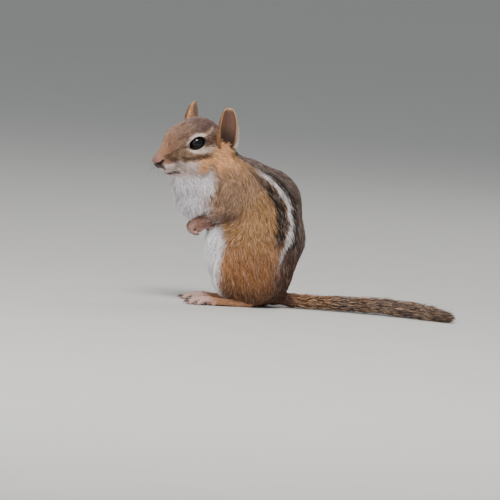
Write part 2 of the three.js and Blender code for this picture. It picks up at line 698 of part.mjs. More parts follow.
const SIDES = [
  ['left', 1],
  ['right', -1],
];
const chipmunk = new THREE.Group();
chipmunk.add(mesh('torso', torso(), coats.tawny));
chipmunk.add(mesh('neck', neck(), coats.tawny));
for (const [word, side] of SIDES) {
  chipmunk.add(mesh(`haunch_${word}`, haunch(side), coats.orange));
  chipmunk.add(mesh(`hind_foot_${word}`, foot(side), coats.paw));
  chipmunk.add(mesh(`arm_${word}`, arm(side), coats.tawny));
  chipmunk.add(mesh(`front_paw_${word}`, hand(side), coats.paw));
}
tailLengths().forEach((solid, i) =>
  chipmunk.add(mesh(`tail_${['base', 'middle', 'tip'][i]}`, solid, coats.grizzled)));

const headGroup = new THREE.Group();
headGroup.applyMatrix4(headFrame);
headGroup.add(mesh('head', head(), coats.tawny));
for (const [word, side] of SIDES) {
  const eye = new THREE.Mesh(ball(EYE_RADIUS), coats.eye);
  eye.name = `eye_${word}`;
  eye.applyMatrix4(eyeFrame(side));
  headGroup.add(eye);
  headGroup.add(mesh(`ear_${word}`, earOnHead(side), coats.ear));
}
chipmunk.add(headGroup);

export default chipmunk;
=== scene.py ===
import math

import bpy
import numpy as np
from mathutils import Matrix, Vector


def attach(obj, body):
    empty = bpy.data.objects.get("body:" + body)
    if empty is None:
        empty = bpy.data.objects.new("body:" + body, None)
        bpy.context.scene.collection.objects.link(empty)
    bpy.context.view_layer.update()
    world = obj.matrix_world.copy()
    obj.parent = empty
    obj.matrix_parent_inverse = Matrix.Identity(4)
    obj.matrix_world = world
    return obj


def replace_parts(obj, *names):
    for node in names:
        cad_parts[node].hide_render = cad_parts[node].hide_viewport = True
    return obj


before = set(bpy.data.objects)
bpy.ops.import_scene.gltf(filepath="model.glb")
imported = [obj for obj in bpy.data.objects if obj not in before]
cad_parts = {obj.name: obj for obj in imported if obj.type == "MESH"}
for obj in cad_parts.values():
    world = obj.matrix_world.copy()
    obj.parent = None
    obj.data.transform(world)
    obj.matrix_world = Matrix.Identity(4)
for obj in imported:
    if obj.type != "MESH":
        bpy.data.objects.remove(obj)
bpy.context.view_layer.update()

rng = np.random.default_rng(11)
MM = 0.001
SIDES = ((1, "left"), (-1, "right"))

# Sizes in millimetres, in the frame of the solids; the body faces -Y and its left side is +X.
HEAD_AT = np.array([7, -39.9, 86.7])
HEAD_YAW, HEAD_PITCH, HEAD_ROLL = 33.4, 11.3, 1.8
EYE_AT = np.array([7.7, 1.8, 1.2])
EYE_RADIUS = 4.7
BALL_RADIUS = EYE_RADIUS - 0.05
EYE_FACES = np.array([0.88, -0.46, 0.1])
LID_OPENING = (4.6, 3.6)
LOWER_LID = 3.15
LID_TILT = 0.17  # rise of the back corner over the front one
BODY_COAT = 1.9  # depth of the lying coat over the skin
HEAD_COAT = 1.0
MUZZLE_COAT = 0.4
BODY_HAIR = 4.8  # length of the hair on the body
TUFTS_TAIL, TUFTS_EAR, TUFTS_EAR_FRONT, TUFTS_EAR_ROOT = 15000, 3600, 1500, 900


def turn(axis, degrees):
    return np.array(Matrix.Rotation(math.radians(degrees), 3, axis))


HEAD = turn("Z", HEAD_YAW) @ turn("X", HEAD_PITCH) @ turn("Y", HEAD_ROLL)


def to_head(p):
    return (p - HEAD_AT) @ HEAD


def from_head(q):
    return np.asarray(q) @ HEAD.T + HEAD_AT


def unit(v):
    return v / np.maximum(np.linalg.norm(v, axis=-1, keepdims=True), 1e-9)


def step(low, high, x):
    t = np.clip((x - low) / (high - low), 0, 1)
    return t * t * (3 - 2 * t)


def blend(a, b, t):
    return a + (b - a) * t


def to_left(p):
    """The points with their x made positive, for forms that both sides share."""
    return np.column_stack([np.abs(p[:, 0]), p[:, 1:]])


# ---- signed distances, on arrays of points ----
def egg(centre, radii, tilt=0, swing=0):
    centre, radii = np.array(centre, float), np.array(radii, float)
    c, s = math.cos(math.radians(tilt)), math.sin(math.radians(tilt))
    ct, st = math.cos(math.radians(swing)), math.sin(math.radians(swing))

    def shape(p):
        x, y, z = (p - centre).T
        x, y = x * ct + y * st, y * ct - x * st
        y, z = y * c + z * s, z * c - y * s
        far = np.sqrt((x / radii[0]) ** 2 + (y / radii[1]) ** 2 + (z / radii[2]) ** 2)
        steep = np.sqrt((x / radii[0] ** 2) ** 2 + (y / radii[1] ** 2) ** 2 + (z / radii[2] ** 2) ** 2)
        return far * (far - 1) / np.maximum(steep, 1e-6)

    return shape


def cone(a, b, ra, rb):
    a, b = np.array(a, float), np.array(b, float)
    ba = b - a
    l2 = ba @ ba
    rr = ra - rb
    a2 = l2 - rr * rr
    il2 = 1 / l2

    def shape(p):
        pa = p - a
        y = pa @ ba
        z = y - l2
        x = pa * l2 - y[:, None] * ba
        x2 = np.einsum("ij,ij->i", x, x)
        y2 = y * y * l2
        z2 = z * z * l2
        k = np.sign(rr) * rr * rr * x2
        side = (np.sqrt(x2 * a2 * il2) + y * rr) * il2 - ra
        d = np.where(np.sign(y) * a2 * y2 < k, np.sqrt(x2 + y2) * il2 - ra, side)
        return np.where(np.sign(z) * a2 * z2 > k, np.sqrt(x2 + z2) * il2 - rb, d)

    return shape


def smin(a, b, k):
    h = np.maximum(k - np.abs(a - b), 0) / k
    return np.minimum(a, b) - h * h * k / 4


def carve(a, b, k):
    return -smin(-a, b, k)


def joined(parts):
    def shape(p):
        d = parts[0][0](p)
        for part, k in parts[1:]:
            d = smin(d, part(p), k)
        return d

    return shape


def both(shape):
    return lambda p: shape(to_left(p))


def chain(points, radii, k=0.6):
    pairs = zip(points, points[1:], radii, radii[1:])
    return joined([(cone(a, b, ra, rb), k) for a, b, ra, rb in pairs])


head_form = joined([
    (egg([0, 7, 1.5], [12.8, 15, 12.8]), 1),
    (egg([0, -2.8, 1.6], [9.2, 11.2, 9.3]), 4),
    (cone([0, -4, 3.0], [0, -18.4, -3.9], 6.8, 2.4), 3),
    (cone([0, -4, -4.2], [0, -17.8, -6.6], 8.2, 3.2), 4),
    (both(egg([3.1, -14.2, -8.3], [3.8, 5.4, 3.9], -12)), 2.5),
    (egg([0, -19.2, -5.4], [2.7, 2.1, 2.6], -12), 1.2),
    (cone([0, -2, -11.7], [0, -12.2, -13.6], 6.2, 2.8), 3),
    (both(egg([8.0, 2.5, -7.0], [6.4, 10.5, 9.2], 0, 12)), 5),
    (both(egg([8.2, -3.2, -4.2], [4.0, 6.5, 4.2], 10, 14)), 3),
    (both(egg([7.2, -0.4, 6.0], [3.8, 6.4, 3.4], 0, 16)), 3),
    (both(egg([8.8, 19, -1.5], [4, 4.2, 6.5])), 4),
])
ear_pits = both(egg([15.0, 16.6, -1.0], [3.3, 3.0, 6.6], -6))
upper_arms = both(egg([15, -13, 60.5], [6.5, 6.8, 10.5], 4))
forearms = both(cone([15.5, -12.8, 53], [6.8, -27.6, 45.3], 5.4, 4.0))
haunches = both(egg([14, 0.2, 24.9], [11.5, 19, 25], 4))
shoulders = both(egg([15, -11.5, 65.5], [9, 12.5, 10.5], 20))
body_form = joined([
    (egg([0, 5, 19.6], [20.5, 20, 21], 4), 1),
    (egg([0, 3.4, 38.2], [21.5, 27.5, 25], 4), 8),
    (egg([0, -1.3, 58.2], [18.5, 28, 20.4], 4), 10),
    (egg([0, -7, 27.4], [17, 17.8, 21], 4), 8),
    (egg([0, -23.9, 60.2], [13, 17, 16], 4), 8),
    (egg([0, -12.2, 71.6], [14.5, 15.5, 11], 4), 8),
    (egg([1.5, -23, 80.5], [13.5, 12.3, 14], 4), 8),
    (egg([5, -35.3, 65.8], [10, 10.6, 7.5]), 4),  # throat and bib, fuller than the solids
    (egg([2, -29.3, 59], [12.5, 13.6, 12.5], 8), 4),
    (haunches, 3),
    (both(egg([15.5, -10.4, 16.2], [8, 10, 13], 4)), 5),
    (upper_arms, 2.4),
    (forearms, 1.8),
])
TAIL_PATH = [
    [0, 15, 5.6], [0.3, 24, 4.4], [1.6, 36, 4.2], [4.6, 52, 4.6],
    [10, 70, 5.0], [18, 86, 4.8], [27.5, 99.5, 4.0], [32, 105, 3.4],
]
TAIL_BRUSH = [4.1, 4.3, 4.6, 5.1, 5.5, 5.4, 4.2, 1.6]  # half-width of the brush at each point
tail_core = chain(TAIL_PATH[:-1], [3.4, 3.0, 2.6, 2.4, 2.2, 1.8, 1.0], 2)

eye_axes = []
for side in (1, -1):
    faces = unit(EYE_FACES * [side, 1, 1])
    level = unit(np.cross([0, 0, 1], faces)) * side
    up = np.cross(faces, level) * side
    eye_axes.append((EYE_AT * [side, 1, 1], np.array([level, up, faces])))


def eye_place(q, side):
    centre, axes = eye_axes[side]
    return (q - centre) @ axes.T


def lid_ratio(e):
    """1 along the rims of the lids, in the eye's own plane, whose first axis runs backward."""
    height = e[:, 1] - LID_TILT * e[:, 0]
    return np.hypot(e[:, 0] / LID_OPENING[0], height / np.where(height > 0, LID_OPENING[1], LOWER_LID))


def skin_depth(p, q, head_share):
    bib = step(-26, -36, p[:, 1]) * step(44, 50, p[:, 2])
    muzzle = step(-9, -17, q[:, 1]) * head_share
    depth = blend(BODY_COAT - bib, HEAD_COAT, head_share)
    depth = blend(depth, MUZZLE_COAT, muzzle)
    return blend(depth, 0.12, step(-18.6, -20.4, q[:, 1]) * head_share)


MOUTH_Y = [-17.8, -16.2, -13.4, -10.4, -7.8]
MOUTH_Z = [-11.6, -12.9, -13.9, -13.6, -12.8]


def mouth_line(q, form):
    """A thin slit round the muzzle that runs out in the cheek; form is the head's own distance."""
    off = np.abs(q[:, 2] - np.interp(q[:, 1], MOUTH_Y, MOUTH_Z))
    half = 0.34 - 0.9 * step(-9.6, -7.4, q[:, 1])
    return np.maximum(off - half, -1.3 - form)


lip_split = cone([0, -17.6, -11.4], [0, -21.2, -7.6], 0.35, 0.3)
nostrils = both(chain([[1.6, -21.3, -7.0], [2.9, -20.2, -7.0], [3.7, -18.6, -5.6]], [0.5, 0.7, 0.4]))
nose_wings = both(egg([1.5, -19.8, -5.9], [1.9, 1.7, 2.4]))


def head_share_of(p, q):
    return step(-4, 5, body_form(p) - head_form(q))


def skin_form(p):
    q = to_head(p)
    head = head_form(q)
    body = body_form(p)
    share = step(-4, 5, body - head)
    d = smin(body, head, 6) + skin_depth(p, q, share)
    near = share > 0
    if near.any():
        h, d0 = q[near], d[near]
        mirror = to_left(h)
        d0 = smin(d0, nose_wings(mirror), 0.8)
        d0 = carve(d0, ear_pits(mirror) + 0.2, 1.2)
        for side in (0, 1):
            e = eye_place(h, side)
            r = np.linalg.norm(e, axis=1)
            d0 = smin(d0, r - (EYE_RADIUS + 0.5), 2.4)
            hole = np.maximum((lid_ratio(e) - 1) * 3.7, -e[:, 2])
            d0 = carve(d0, hole, 0.5)
            d0 = np.maximum(d0, EYE_RADIUS + 0.05 - r)
        d0 = carve(d0, mouth_line(h, head[near]), 0.5)
        d0 = carve(d0, lip_split(h), 0.7)
        d0 = carve(d0, nostrils(mirror), 0.5)
        d[near] = d0
    tail = tail_core(p)
    d = smin(d, tail, 4)
    return np.maximum(d, 0.25 - p[:, 2])


# ---- surfaces from distances ----
CORNERS = np.array([[i & 1, (i >> 1) & 1, i >> 2] for i in range(8)])
EDGES = [(a, b) for a in range(8) for b in range(a + 1, 8) if np.abs(CORNERS[a] - CORNERS[b]).sum() == 1]


def slope(form, p, e=0.04):
    d = form(p)
    g = np.stack([form(p + np.eye(3)[i] * e) - d for i in range(3)], 1) / e
    return d, g


def net(form, low, high, size, settle=2):
    """Points, outward slopes and quads of the surface where form is 0."""
    low = np.array(low, float)
    n = np.ceil((np.array(high) - low) / size).astype(int) + 1
    value = np.empty(n, np.float32)
    yy, zz = np.meshgrid(np.arange(n[1]), np.arange(n[2]), indexing="ij")
    rows = max(1, 600000 // (n[1] * n[2]))
    for i in range(0, n[0], rows):
        xs = np.arange(i, min(i + rows, n[0]))
        grid = np.empty((len(xs), n[1], n[2], 3))
        grid[..., 0] = xs[:, None, None]
        grid[..., 1] = yy
        grid[..., 2] = zz
        value[xs] = form(grid.reshape(-1, 3) * size + low).reshape(len(xs), n[1], n[2])
    inside = value < 0
    count = sum(inside[tuple(slice(c[k], n[k] - 1 + c[k]) for k in range(3))].astype(np.int8) for c in CORNERS)
    cells = np.argwhere((count > 0) & (count < 8))
    v = [value[tuple((cells + c).T)] for c in CORNERS]
    total = np.zeros((len(cells), 3))
    hits = np.zeros(len(cells))
    for a, b in EDGES:
        crossed = (v[a] < 0) != (v[b] < 0)
        t = (v[a] / np.where(crossed, v[a] - v[b], 1))[:, None]
        total += np.where(crossed[:, None], CORNERS[a] + (CORNERS[b] - CORNERS[a]) * t, 0)
        hits += crossed
    points = (cells + total / hits[:, None]) * size + low
    index = np.full(n - 1, -1)
    index[tuple(cells.T)] = np.arange(len(cells))
    quads = []
    for axis in range(3):
        u, w = (axis + 1) % 3, (axis + 2) % 3
        here = [slice(0, n[0] - 1), slice(0, n[1] - 1), slice(0, n[2] - 1)]
        after = list(here)
        here[u] = after[u] = slice(1, n[u] - 1)
        here[w] = after[w] = slice(1, n[w] - 1)
        after[axis] = slice(1, n[axis])
        cut = inside[tuple(here)] != inside[tuple(after)]
        at = np.argwhere(cut) + np.eye(3, dtype=int)[u] + np.eye(3, dtype=int)[w]
        du, dw = np.eye(3, dtype=int)[u], np.eye(3, dtype=int)[w]
        ring = np.stack([index[tuple((at - s).T)] for s in (0 * du, du, du + dw, dw)], 1)
        flip = ~inside[tuple(at.T)]
        ring[flip] = ring[flip][:, ::-1]
        quads.append(ring)
    quads = np.concatenate(quads)
    quads = quads[(quads >= 0).all(1)]
    for _ in range(settle):
        d, g = slope(form, points)
        size2 = np.maximum((g * g).sum(1), 0.2)
        move = g * (np.clip(d, -size, size) / size2)[:, None]
        points = points - move
    return points, unit(slope(form, points)[1]), quads


def combine(parts):
    points, normals, quads, base = [], [], [], 0
    for p, n, q in parts:
        points.append(p)
        normals.append(n)
        quads.append(q + base)
        base += len(p)
    return np.concatenate(points), np.concatenate(normals), np.concatenate(quads)


def tube_quads(rings, sides, closed=False):
    """Quads between rings of points; a closed tube's last ring meets its first."""
    i, j = np.meshgrid(np.arange(rings if closed else rings - 1), np.arange(sides), indexing="ij")
    here, after, beside = i * sides, (i + 1) % rings * sides, (j + 1) % sides
    return np.stack([here + j, here + beside, after + beside, after + j], -1).reshape(-1, 4)


def mesh_object(name, points, faces, material, colours=None, smooth=True):
    """One mesh piece from points in millimetres and faces of one size."""
    mesh = bpy.data.meshes.new(name)
    sides = faces.shape[1]
    mesh.vertices.add(len(points))
    mesh.vertices.foreach_set("co", (np.asarray(points) * MM).astype(np.float32).ravel())
    mesh.loops.add(faces.size)
    mesh.loops.foreach_set("vertex_index", faces.astype(np.int32).ravel())
    mesh.polygons.add(len(faces))
    mesh.polygons.foreach_set("loop_start", np.arange(0, faces.size, sides, dtype=np.int32))
    mesh.update(calc_edges=True)
    mesh.polygons.foreach_set("use_smooth", np.full(len(faces), smooth))
    if colours is not None:
        layer = mesh.color_attributes.new("Col", "FLOAT_COLOR", "POINT")
        opaque = np.column_stack([colours, np.ones(len(points))])
        layer.data.foreach_set("color", opaque.astype(np.float32).ravel())
    mesh.materials.append(material)
    made = bpy.data.objects.new(name, mesh)
    bpy.context.scene.collection.objects.link(made)
    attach(made, "root")
    return made


# ---- coat colours, as linear light ----
C = {
    "back": (0.12, 0.08, 0.066), "crown": (0.21, 0.13, 0.112), "forehead": (0.36, 0.21, 0.14),
    "bridge": (0.34, 0.175, 0.105), "brown": (0.10, 0.048, 0.026), "cream": (0.88, 0.70, 0.60),
    "white": (0.90, 0.87, 0.90), "lip": (0.80, 0.64, 0.60), "flank": (0.44, 0.235, 0.10),
    # the reddish-brown on the next line, second of three, is darkened with painted shade for the low haunch; the tail
    # uses it brightened
    "haunch": (0.39, 0.175, 0.072), "shaded_rust": (0.19, 0.08, 0.034), "shoulder": (0.38, 0.225, 0.13),
    "forearm": (0.27, 0.16, 0.115), "cheek": (0.93, 0.50, 0.245), "black": (0.014, 0.009, 0.007),
    "rump": (0.115, 0.05, 0.03), "foot": (0.46, 0.225, 0.12), "toe": (0.56, 0.35, 0.30),
    "buff": (0.55, 0.36, 0.22), "dark": (0.055, 0.034, 0.027), "nose": (0.36, 0.18, 0.135),
    # the last colour on the next line is painted shade for hollows: the nostrils, the ear's root and the ear's inside
    "hand": (0.31, 0.165, 0.12), "ear": (0.14, 0.07, 0.048), "pit": (0.035, 0.018, 0.014),
    # the last colour, a white made darker and bluer, is painted shade for the breast
    "chest": (0.77, 0.72, 0.75),
}
C = {k: np.array(v) for k, v in C.items()}


def near(p, path, inner, outer):
    """1 within inner of a path, 0 beyond outer."""
    path = np.array(path, float)
    best = np.full(len(p), 1e9)
    for a, b in zip(path, path[1:]):
        ab = b - a
        t = np.clip((p - a) @ ab / (ab @ ab), 0, 1)
        best = np.minimum(best, np.linalg.norm(p - a - t[:, None] * ab, axis=1))
    return 1 - step(inner, outer, best)


def around(p):
    """Angle round the body from the middle of the back, in degrees: 180 is the middle of the belly."""
    z = p[:, 2]
    middle, deep, wide = (np.interp(z, [0, 20, 40, 58, 72, 85], row) for row in (
        [7, 5, 3, -1.5, -10, -20], [18, 20, 27, 27.5, 18, 14], [18, 22, 22, 19, 14.5, 13.5]))
    return np.degrees(np.arctan2(np.abs(p[:, 0]) / wide, (p[:, 1] - middle) / deep))


def paint(base, colour, amount):
    return blend(base, colour, amount[:, None])


def wobble(p, scale, seed=0.0):
    """Smooth variation between about -1 and 1."""
    k = np.array([[1.0, 0.7, -0.4], [-0.6, 1.1, 0.5], [0.3, -0.5, 1.2], [0.9, 0.4, 0.8]]) / scale
    return sum(np.sin(p @ row * (1 + 0.37 * i) + seed + i * 1.7) for i, row in enumerate(k)) / 2.6


def fleck(p, size):
    """A value from 0 to 1 for each small cell of the coat."""
    cell = np.floor(p / size + 0.35 * np.sin(p[:, [1, 2, 0]] / size * 2.3))
    value = np.sin(cell @ [12.9898, 78.233, 37.719]) * 43758.5453
    return value - np.floor(value)


def body_colour(p):
    z = p[:, 2]
    phi = around(p) + 1.6 * wobble(p, 4)
    white_at = np.interp(z, [19, 33, 41, 50, 58, 64, 74], [68, 57.5, 49.6, 44.5, 44.6, 42, 42])
    belly_at = np.interp(z, [5, 14, 22, 31, 36, 45, 58, 69, 80], [137, 141, 143, 136, 130, 135, 138, 131, 128])
    flank = blend(C["haunch"], C["flank"], step(22, 44, z)[:, None])
    # the lowest part of the flank and haunch is darkened: painted shade
    flank = paint(flank, C["shaded_rust"], 1 - step(5, 20, z))
    back = blend(C["rump"], C["back"], step(16, 44, z)[:, None])
    soft = 8 * step(36, 20, z)
    colour = paint(flank, back, 1 - step(-6 - soft, 10 + soft, phi - white_at))
    fade = step(33, 40, z) * (1 - step(73, 79, z))
    ends = 1 - step(74, 80, z)
    low_side, back_side, pale = (1 - step(inner, outer, np.abs(phi - white_at + off))
                                 for inner, outer, off in ((5.5, 9.5, -13.5), (3, 6.5, 10.5), (1.2, 5.2, 0)))
    colour = paint(colour, C["black"], low_side * fade * 0.95)
    colour = paint(colour, C["black"], back_side * step(30, 38, z) * ends * 0.9)
    colour = paint(colour, C["white"] * 0.95, pale * step(20, 40, z) * ends * 0.9)
    colour = paint(colour, C["dark"], (1 - step(2, 5, phi)) * step(16, 30, z) * ends * 0.8)
    neck = step(66, 76, z)
    colour = paint(colour, C["cheek"], neck * step(60, 80, phi) * (1 - step(118, 132, phi)) * 0.85)
    # the white turns darker and bluer towards the breast: painted shade
    under = blend(C["white"], C["chest"], step(44, 56, z)[:, None])
    colour = paint(colour, under, step(-7, 7, phi - belly_at))
    mantle = 1 - step(-1.5, 5.5, shoulders(p))
    colour = paint(colour, C["shoulder"], mantle * (1 - step(-6, 4, phi - belly_at)) * 0.85)
    arm = 1 - step(0.5, 1.5, np.minimum(upper_arms(p), forearms(p)))
    limb = blend(C["forearm"], C["shoulder"], step(48, 58, z)[:, None])
    colour = paint(colour, limb, arm * (1 - step(64, 70, z)))
    # painted shade: a dark band in the crease round the upper arm and forearm
    fold = 1 - step(0.1, 1.1, np.abs(np.minimum(upper_arms(p), forearms(p)) - 1.6))
    colour = paint(colour, C["dark"], fold * step(-24, -14, p[:, 1]) * (1 - step(58, 66, z)) * 0.35)
    return colour


# colour and its factor, the line on the left side of the head, where it starts to fade and ends, its strength
HEAD_LINES = [
    ("brown", 1.5, [[9.4, -8.4, -2.6], [6.6, -12, -3.4], [4.9, -15.4, -4.2]], 0.6, 2.7, 0.5),
    ("brown", 1.3, [[4.3, -16.6, -3.9], [6.2, -13.6, -5.4], [10, -9.6, -5.3], [13.7, -4.7, -5.4],
                    [14.8, 2.2, -5.1], [16.4, 8.7, -4.8], [17.4, 15.6, -5]], 0.7, 2.1, 0.9),
    ("buff", 1, [[7.5, -12, -7.4], [10.3, -9.2, -7.1], [13.8, -4.2, -7.5]], 0.1, 0.9, 0.7),
    ("brown", 1.6, [[13.2, 5.4, 2.6], [13.6, 6.2, 1.9], [13.7, 9.1, 2.6], [14.4, 12.4, 3.4]], 1.2, 2.9, 0.9),
    ("brown", 1, [[9.9, -6.8, 0.8], [8, -9.1, 0.1], [6, -12.3, -1.4], [4.3, -16.0, -3.0]], 0.2, 1.0, 0.8),
    ("cream", 0.85, [[14.3, 2.8, -2.4], [14.8, 5.5, -2.1], [15.7, 9.4, -2.0], [16.7, 14, -2.7],
                     [16.3, 17, -1.8]], 0.6, 1.9, 0.9),
    ("cream", 0.7, [[15, 21, 2], [17, 22, -3], [17, 23, -8]], 1.5, 4.5, 0.7),
    ("cream", 1, [[9.6, -7.0, -0.4], [11.3, -5.9, -1.0], [13.2, -4, -2.3], [14.1, -0.2, -3.0],
                  [14.4, 3.3, -2.4]], 0.35, 1.15, 1),
    ("buff", 1.2, [[11.9, 4.6, 5.8], [11.4, 8.2, 6.9], [10.4, 11.4, 8.3]], 0.5, 1.6, 0.9),
    ("cream", 1, [[9.9, -6.2, 2.2], [11.0, -4.3, 5.1], [11.3, -1.2, 6.4], [11.6, 2.4, 6.4],
                  [11.9, 4.8, 5.7]], 0.6, 1.35, 1),
    ("brown", 1.2, [[7.4, -8.6, 5.2], [9.2, -4.2, 8.6], [10.4, 1.8, 8.9], [9.8, 8, 9.6]], 0.2, 1.3, 0.5),
]


def head_colour(q):
    m = to_left(q)
    x, y, z = m.T
    colour = np.tile(C["crown"], (len(q), 1))
    colour = paint(colour, C["forehead"], (1 - step(-6, 6, y)) * 0.8)
    colour = paint(colour, C["bridge"], 1 - step(-14, -8, y))
    cheek = step(-6.8, -8.2, z)
    orange = step(-5.5, 0.5, y + 0.25 * (z + 10)) * step(-4.6, -6.6, z)
    colour = paint(colour, C["buff"] * 0.8, step(0.5, -2, z - 0.4) * step(-16, -9, y) * 0.7)
    colour = paint(colour, C["lip"], cheek)
    colour = paint(colour, C["cheek"], orange * (1 - 0.7 * step(-17, -21, z)))
    colour = paint(colour, C["white"], step(-15, -18, z) * (1 - step(-3, 4, y)))
    for name, factor, path, inner, outer, amount in HEAD_LINES:
        colour = paint(colour, C[name] * factor, near(m, path, inner, outer) * amount)
    e = np.where(q[:, :1] > 0, eye_place(q, 0), eye_place(q, 1))
    ring = lid_ratio(e)
    away = np.abs(e[:, 1] - LID_TILT * e[:, 0]) / np.maximum(np.hypot(e[:, 0], e[:, 1]), 0.1)
    colour = paint(colour, C["cream"], (1 - step(1.14, 1.34, ring)) * step(0.3, 0.7, away) * (e[:, 2] > 0))
    corner = (1 - step(1.08, 1.38, ring)) * (1 - step(0.12, 0.35, away)) * (e[:, 2] > 0)
    colour = paint(colour, C["dark"], corner * 0.9)
    colour = paint(colour, C["nose"], step(-18.2, -20.0, y))
    # painted shade under the nose pad
    colour = paint(colour, C["dark"], step(-6.9, -8.0, z) * step(-16.8, -18.4, y) * (1 - step(3.6, 5.2, x)) * 0.9)
    # painted shade along the slit of the mouth
    colour = paint(colour, C["dark"], (1 - step(0.05, 0.5, mouth_line(m, head_form(q)))) * 0.85)
    # painted shade in the nostrils
    colour = paint(colour, C["pit"], 1 - step(0.1, 0.6, nostrils(m)))
    # painted shade in the hollows at the ear's root
    low_pit = [[15.2, 14.2, -1], [15.6, 15.2, -4.5]]
    colour = paint(colour, C["pit"] * 1.5, near(m, low_pit, 0.8, 2.2) * 0.9)
    colour = paint(colour, C["pit"], step(1.0, -0.2, ear_pits(m)) * 0.95)
    return colour


def coat_colour(p):
    q = to_head(p)
    share = step(-1.5, 1.5, body_form(p) - head_form(q) + 0.8 * wobble(p, 3, 2.0))
    colour = blend(body_colour(p), head_colour(q), share[:, None])
    tail = step(21, 27, p[:, 1]) * step(12, 9, p[:, 2])
    grizzle = blend(C["flank"] * 0.75, C["back"] * 0.9, step(26, 50, p[:, 1])[:, None])
    return paint(colour, grizzle, tail)


# ---- materials ----
def socket(node, name, value):
    node.inputs[name].default_value = value


def noise_material(name, roughness, scale):
    """A new material with noise in the object's own coordinates, not yet linked to its shader."""
    material = bpy.data.materials.new(name)
    material.use_nodes = True
    nodes, links = material.node_tree.nodes, material.node_tree.links
    shader = nodes["Principled BSDF"]
    socket(shader, "Roughness", roughness)
    place = nodes.new("ShaderNodeTexCoord")
    noise = nodes.new("ShaderNodeTexNoise")
    socket(noise, "Scale", scale)
    links.new(place.outputs["Object"], noise.inputs["Vector"])
    return material, nodes, links, shader, noise


def coat_material(name, roughness, sheen, mottle, bump):
    """Colour from the coat's own markings, with a fine mottle, and a fibrous relief when bump is not zero."""
    material, nodes, links, shader, noise = noise_material(name, roughness, 900)
    socket(shader, "Sheen Weight", sheen)
    socket(shader, "Sheen Roughness", 0.5)
    socket(shader, "Specular IOR Level", 0.3)
    colour = nodes.new("ShaderNodeVertexColor")
    colour.layer_name = "Col"
    socket(noise, "Detail", 3)
    ramp = nodes.new("ShaderNodeMapRange")
    socket(ramp, "To Min", 1 - mottle)
    socket(ramp, "To Max", 1 + mottle)
    links.new(noise.outputs["Fac"], ramp.inputs["Value"])
    scale = nodes.new("ShaderNodeVectorMath")
    scale.operation = "SCALE"
    links.new(colour.outputs["Color"], scale.inputs[0])
    links.new(ramp.outputs["Result"], scale.inputs["Scale"])
    links.new(scale.outputs["Vector"], shader.inputs["Base Color"])
    if bump:
        relief = nodes.new("ShaderNodeBump")
        socket(relief, "Strength", bump)
        socket(relief, "Distance", 0.0002)
        links.new(noise.outputs["Fac"], relief.inputs["Height"])
        links.new(relief.outputs["Normal"], shader.inputs["Normal"])
    return material


def plain_material(name, colour, roughness, mottle=0.15, scale=700, shine=0.5):
    material, nodes, links, shader, noise = noise_material(name, roughness, scale)
    socket(shader, "Specular IOR Level", shine)
    mix = nodes.new("ShaderNodeMix")
    mix.data_type = "RGBA"
    colour = np.array(colour)
    mix.inputs["A"].default_value = (*(colour * (1 - mottle)), 1)
    mix.inputs["B"].default_value = (*(colour * (1 + mottle)), 1)
    links.new(noise.outputs["Fac"], mix.inputs["Factor"])
    links.new(mix.outputs["Result"], shader.inputs["Base Color"])
    return material


SKIN = coat_material("skin", 0.75, 0.1, 0.12, 0.5)
FUR = coat_material("fur", 0.66, 0.04, 0.12, 0)
BARE = coat_material("bare_skin", 0.5, 0.05, 0.12, 0.6)
EYE = plain_material("eye", (0.004, 0.003, 0.003), 0.09, mottle=0.5, scale=300, shine=0.32)
LID = plain_material("lid", (0.02, 0.013, 0.011), 0.35)
CLAW = plain_material("claw", (0.10, 0.06, 0.045), 0.35)
WHISKER = plain_material("whisker", (0.05, 0.04, 0.035), 0.4)

# ---- the skin of body, head and tail ----
COARSE = 1.0

body_net = net(skin_form, [-27, -50, -1], [27, 34, 108], 0.62 * COARSE)
middle = body_net[0][body_net[2]].mean(1)
q_mid = to_head(middle)
keep_body = ~((q_mid[:, 1] < 11) & (head_share_of(middle, q_mid) > 0.98))
head_net = net(lambda q: skin_form(from_head(q)), [-18, -24, -20], [18, 14, 16], 0.36 * COARSE)
head_net = (from_head(head_net[0]), head_net[1] @ HEAD.T, head_net[2])
middle = head_net[0][head_net[2]].mean(1)
q_mid = to_head(middle)
keep_head = (q_mid[:, 1] < 12.2) & (head_share_of(middle, q_mid) > 0.97)
tail_net = net(skin_form, [-4, 32, 0], [34, 102, 12], 0.6 * COARSE)
# The three nets lie on one surface and overlap in narrow bands at the neck and the tail's root.
skin = combine([
    (body_net[0], body_net[1], body_net[2][keep_body]),
    (head_net[0], head_net[1], head_net[2][keep_head]),
    tail_net,
])


def outer_points(points, normals):
    q = to_head(points)
    return points + normals * skin_depth(points, q, head_share_of(points, q))[:, None]


skin_colours = coat_colour(outer_points(skin[0], skin[1]))
skin_object = mesh_object("skin", skin[0], skin[2], SKIN, skin_colours * 0.8)
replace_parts(skin_object, "torso", "neck", "head", "haunch_left", "haunch_right", "arm_left", "arm_right",
            "tail_base", "tail_middle", "tail_tip")

# ---- ears ----
EAR_ROOT = np.array([11.5, 18.3, -3.3])
EAR_RISES = unit(np.array([0.17, 0.07, 0.98]))
EAR_LENGTH = 22.6
EAR_HALF = 5.2
ear_opens = np.array([0.9, -0.42, 0])
ear_opens = unit(ear_opens - EAR_RISES * (ear_opens @ EAR_RISES))
ear_across = np.cross(EAR_RISES, ear_opens)


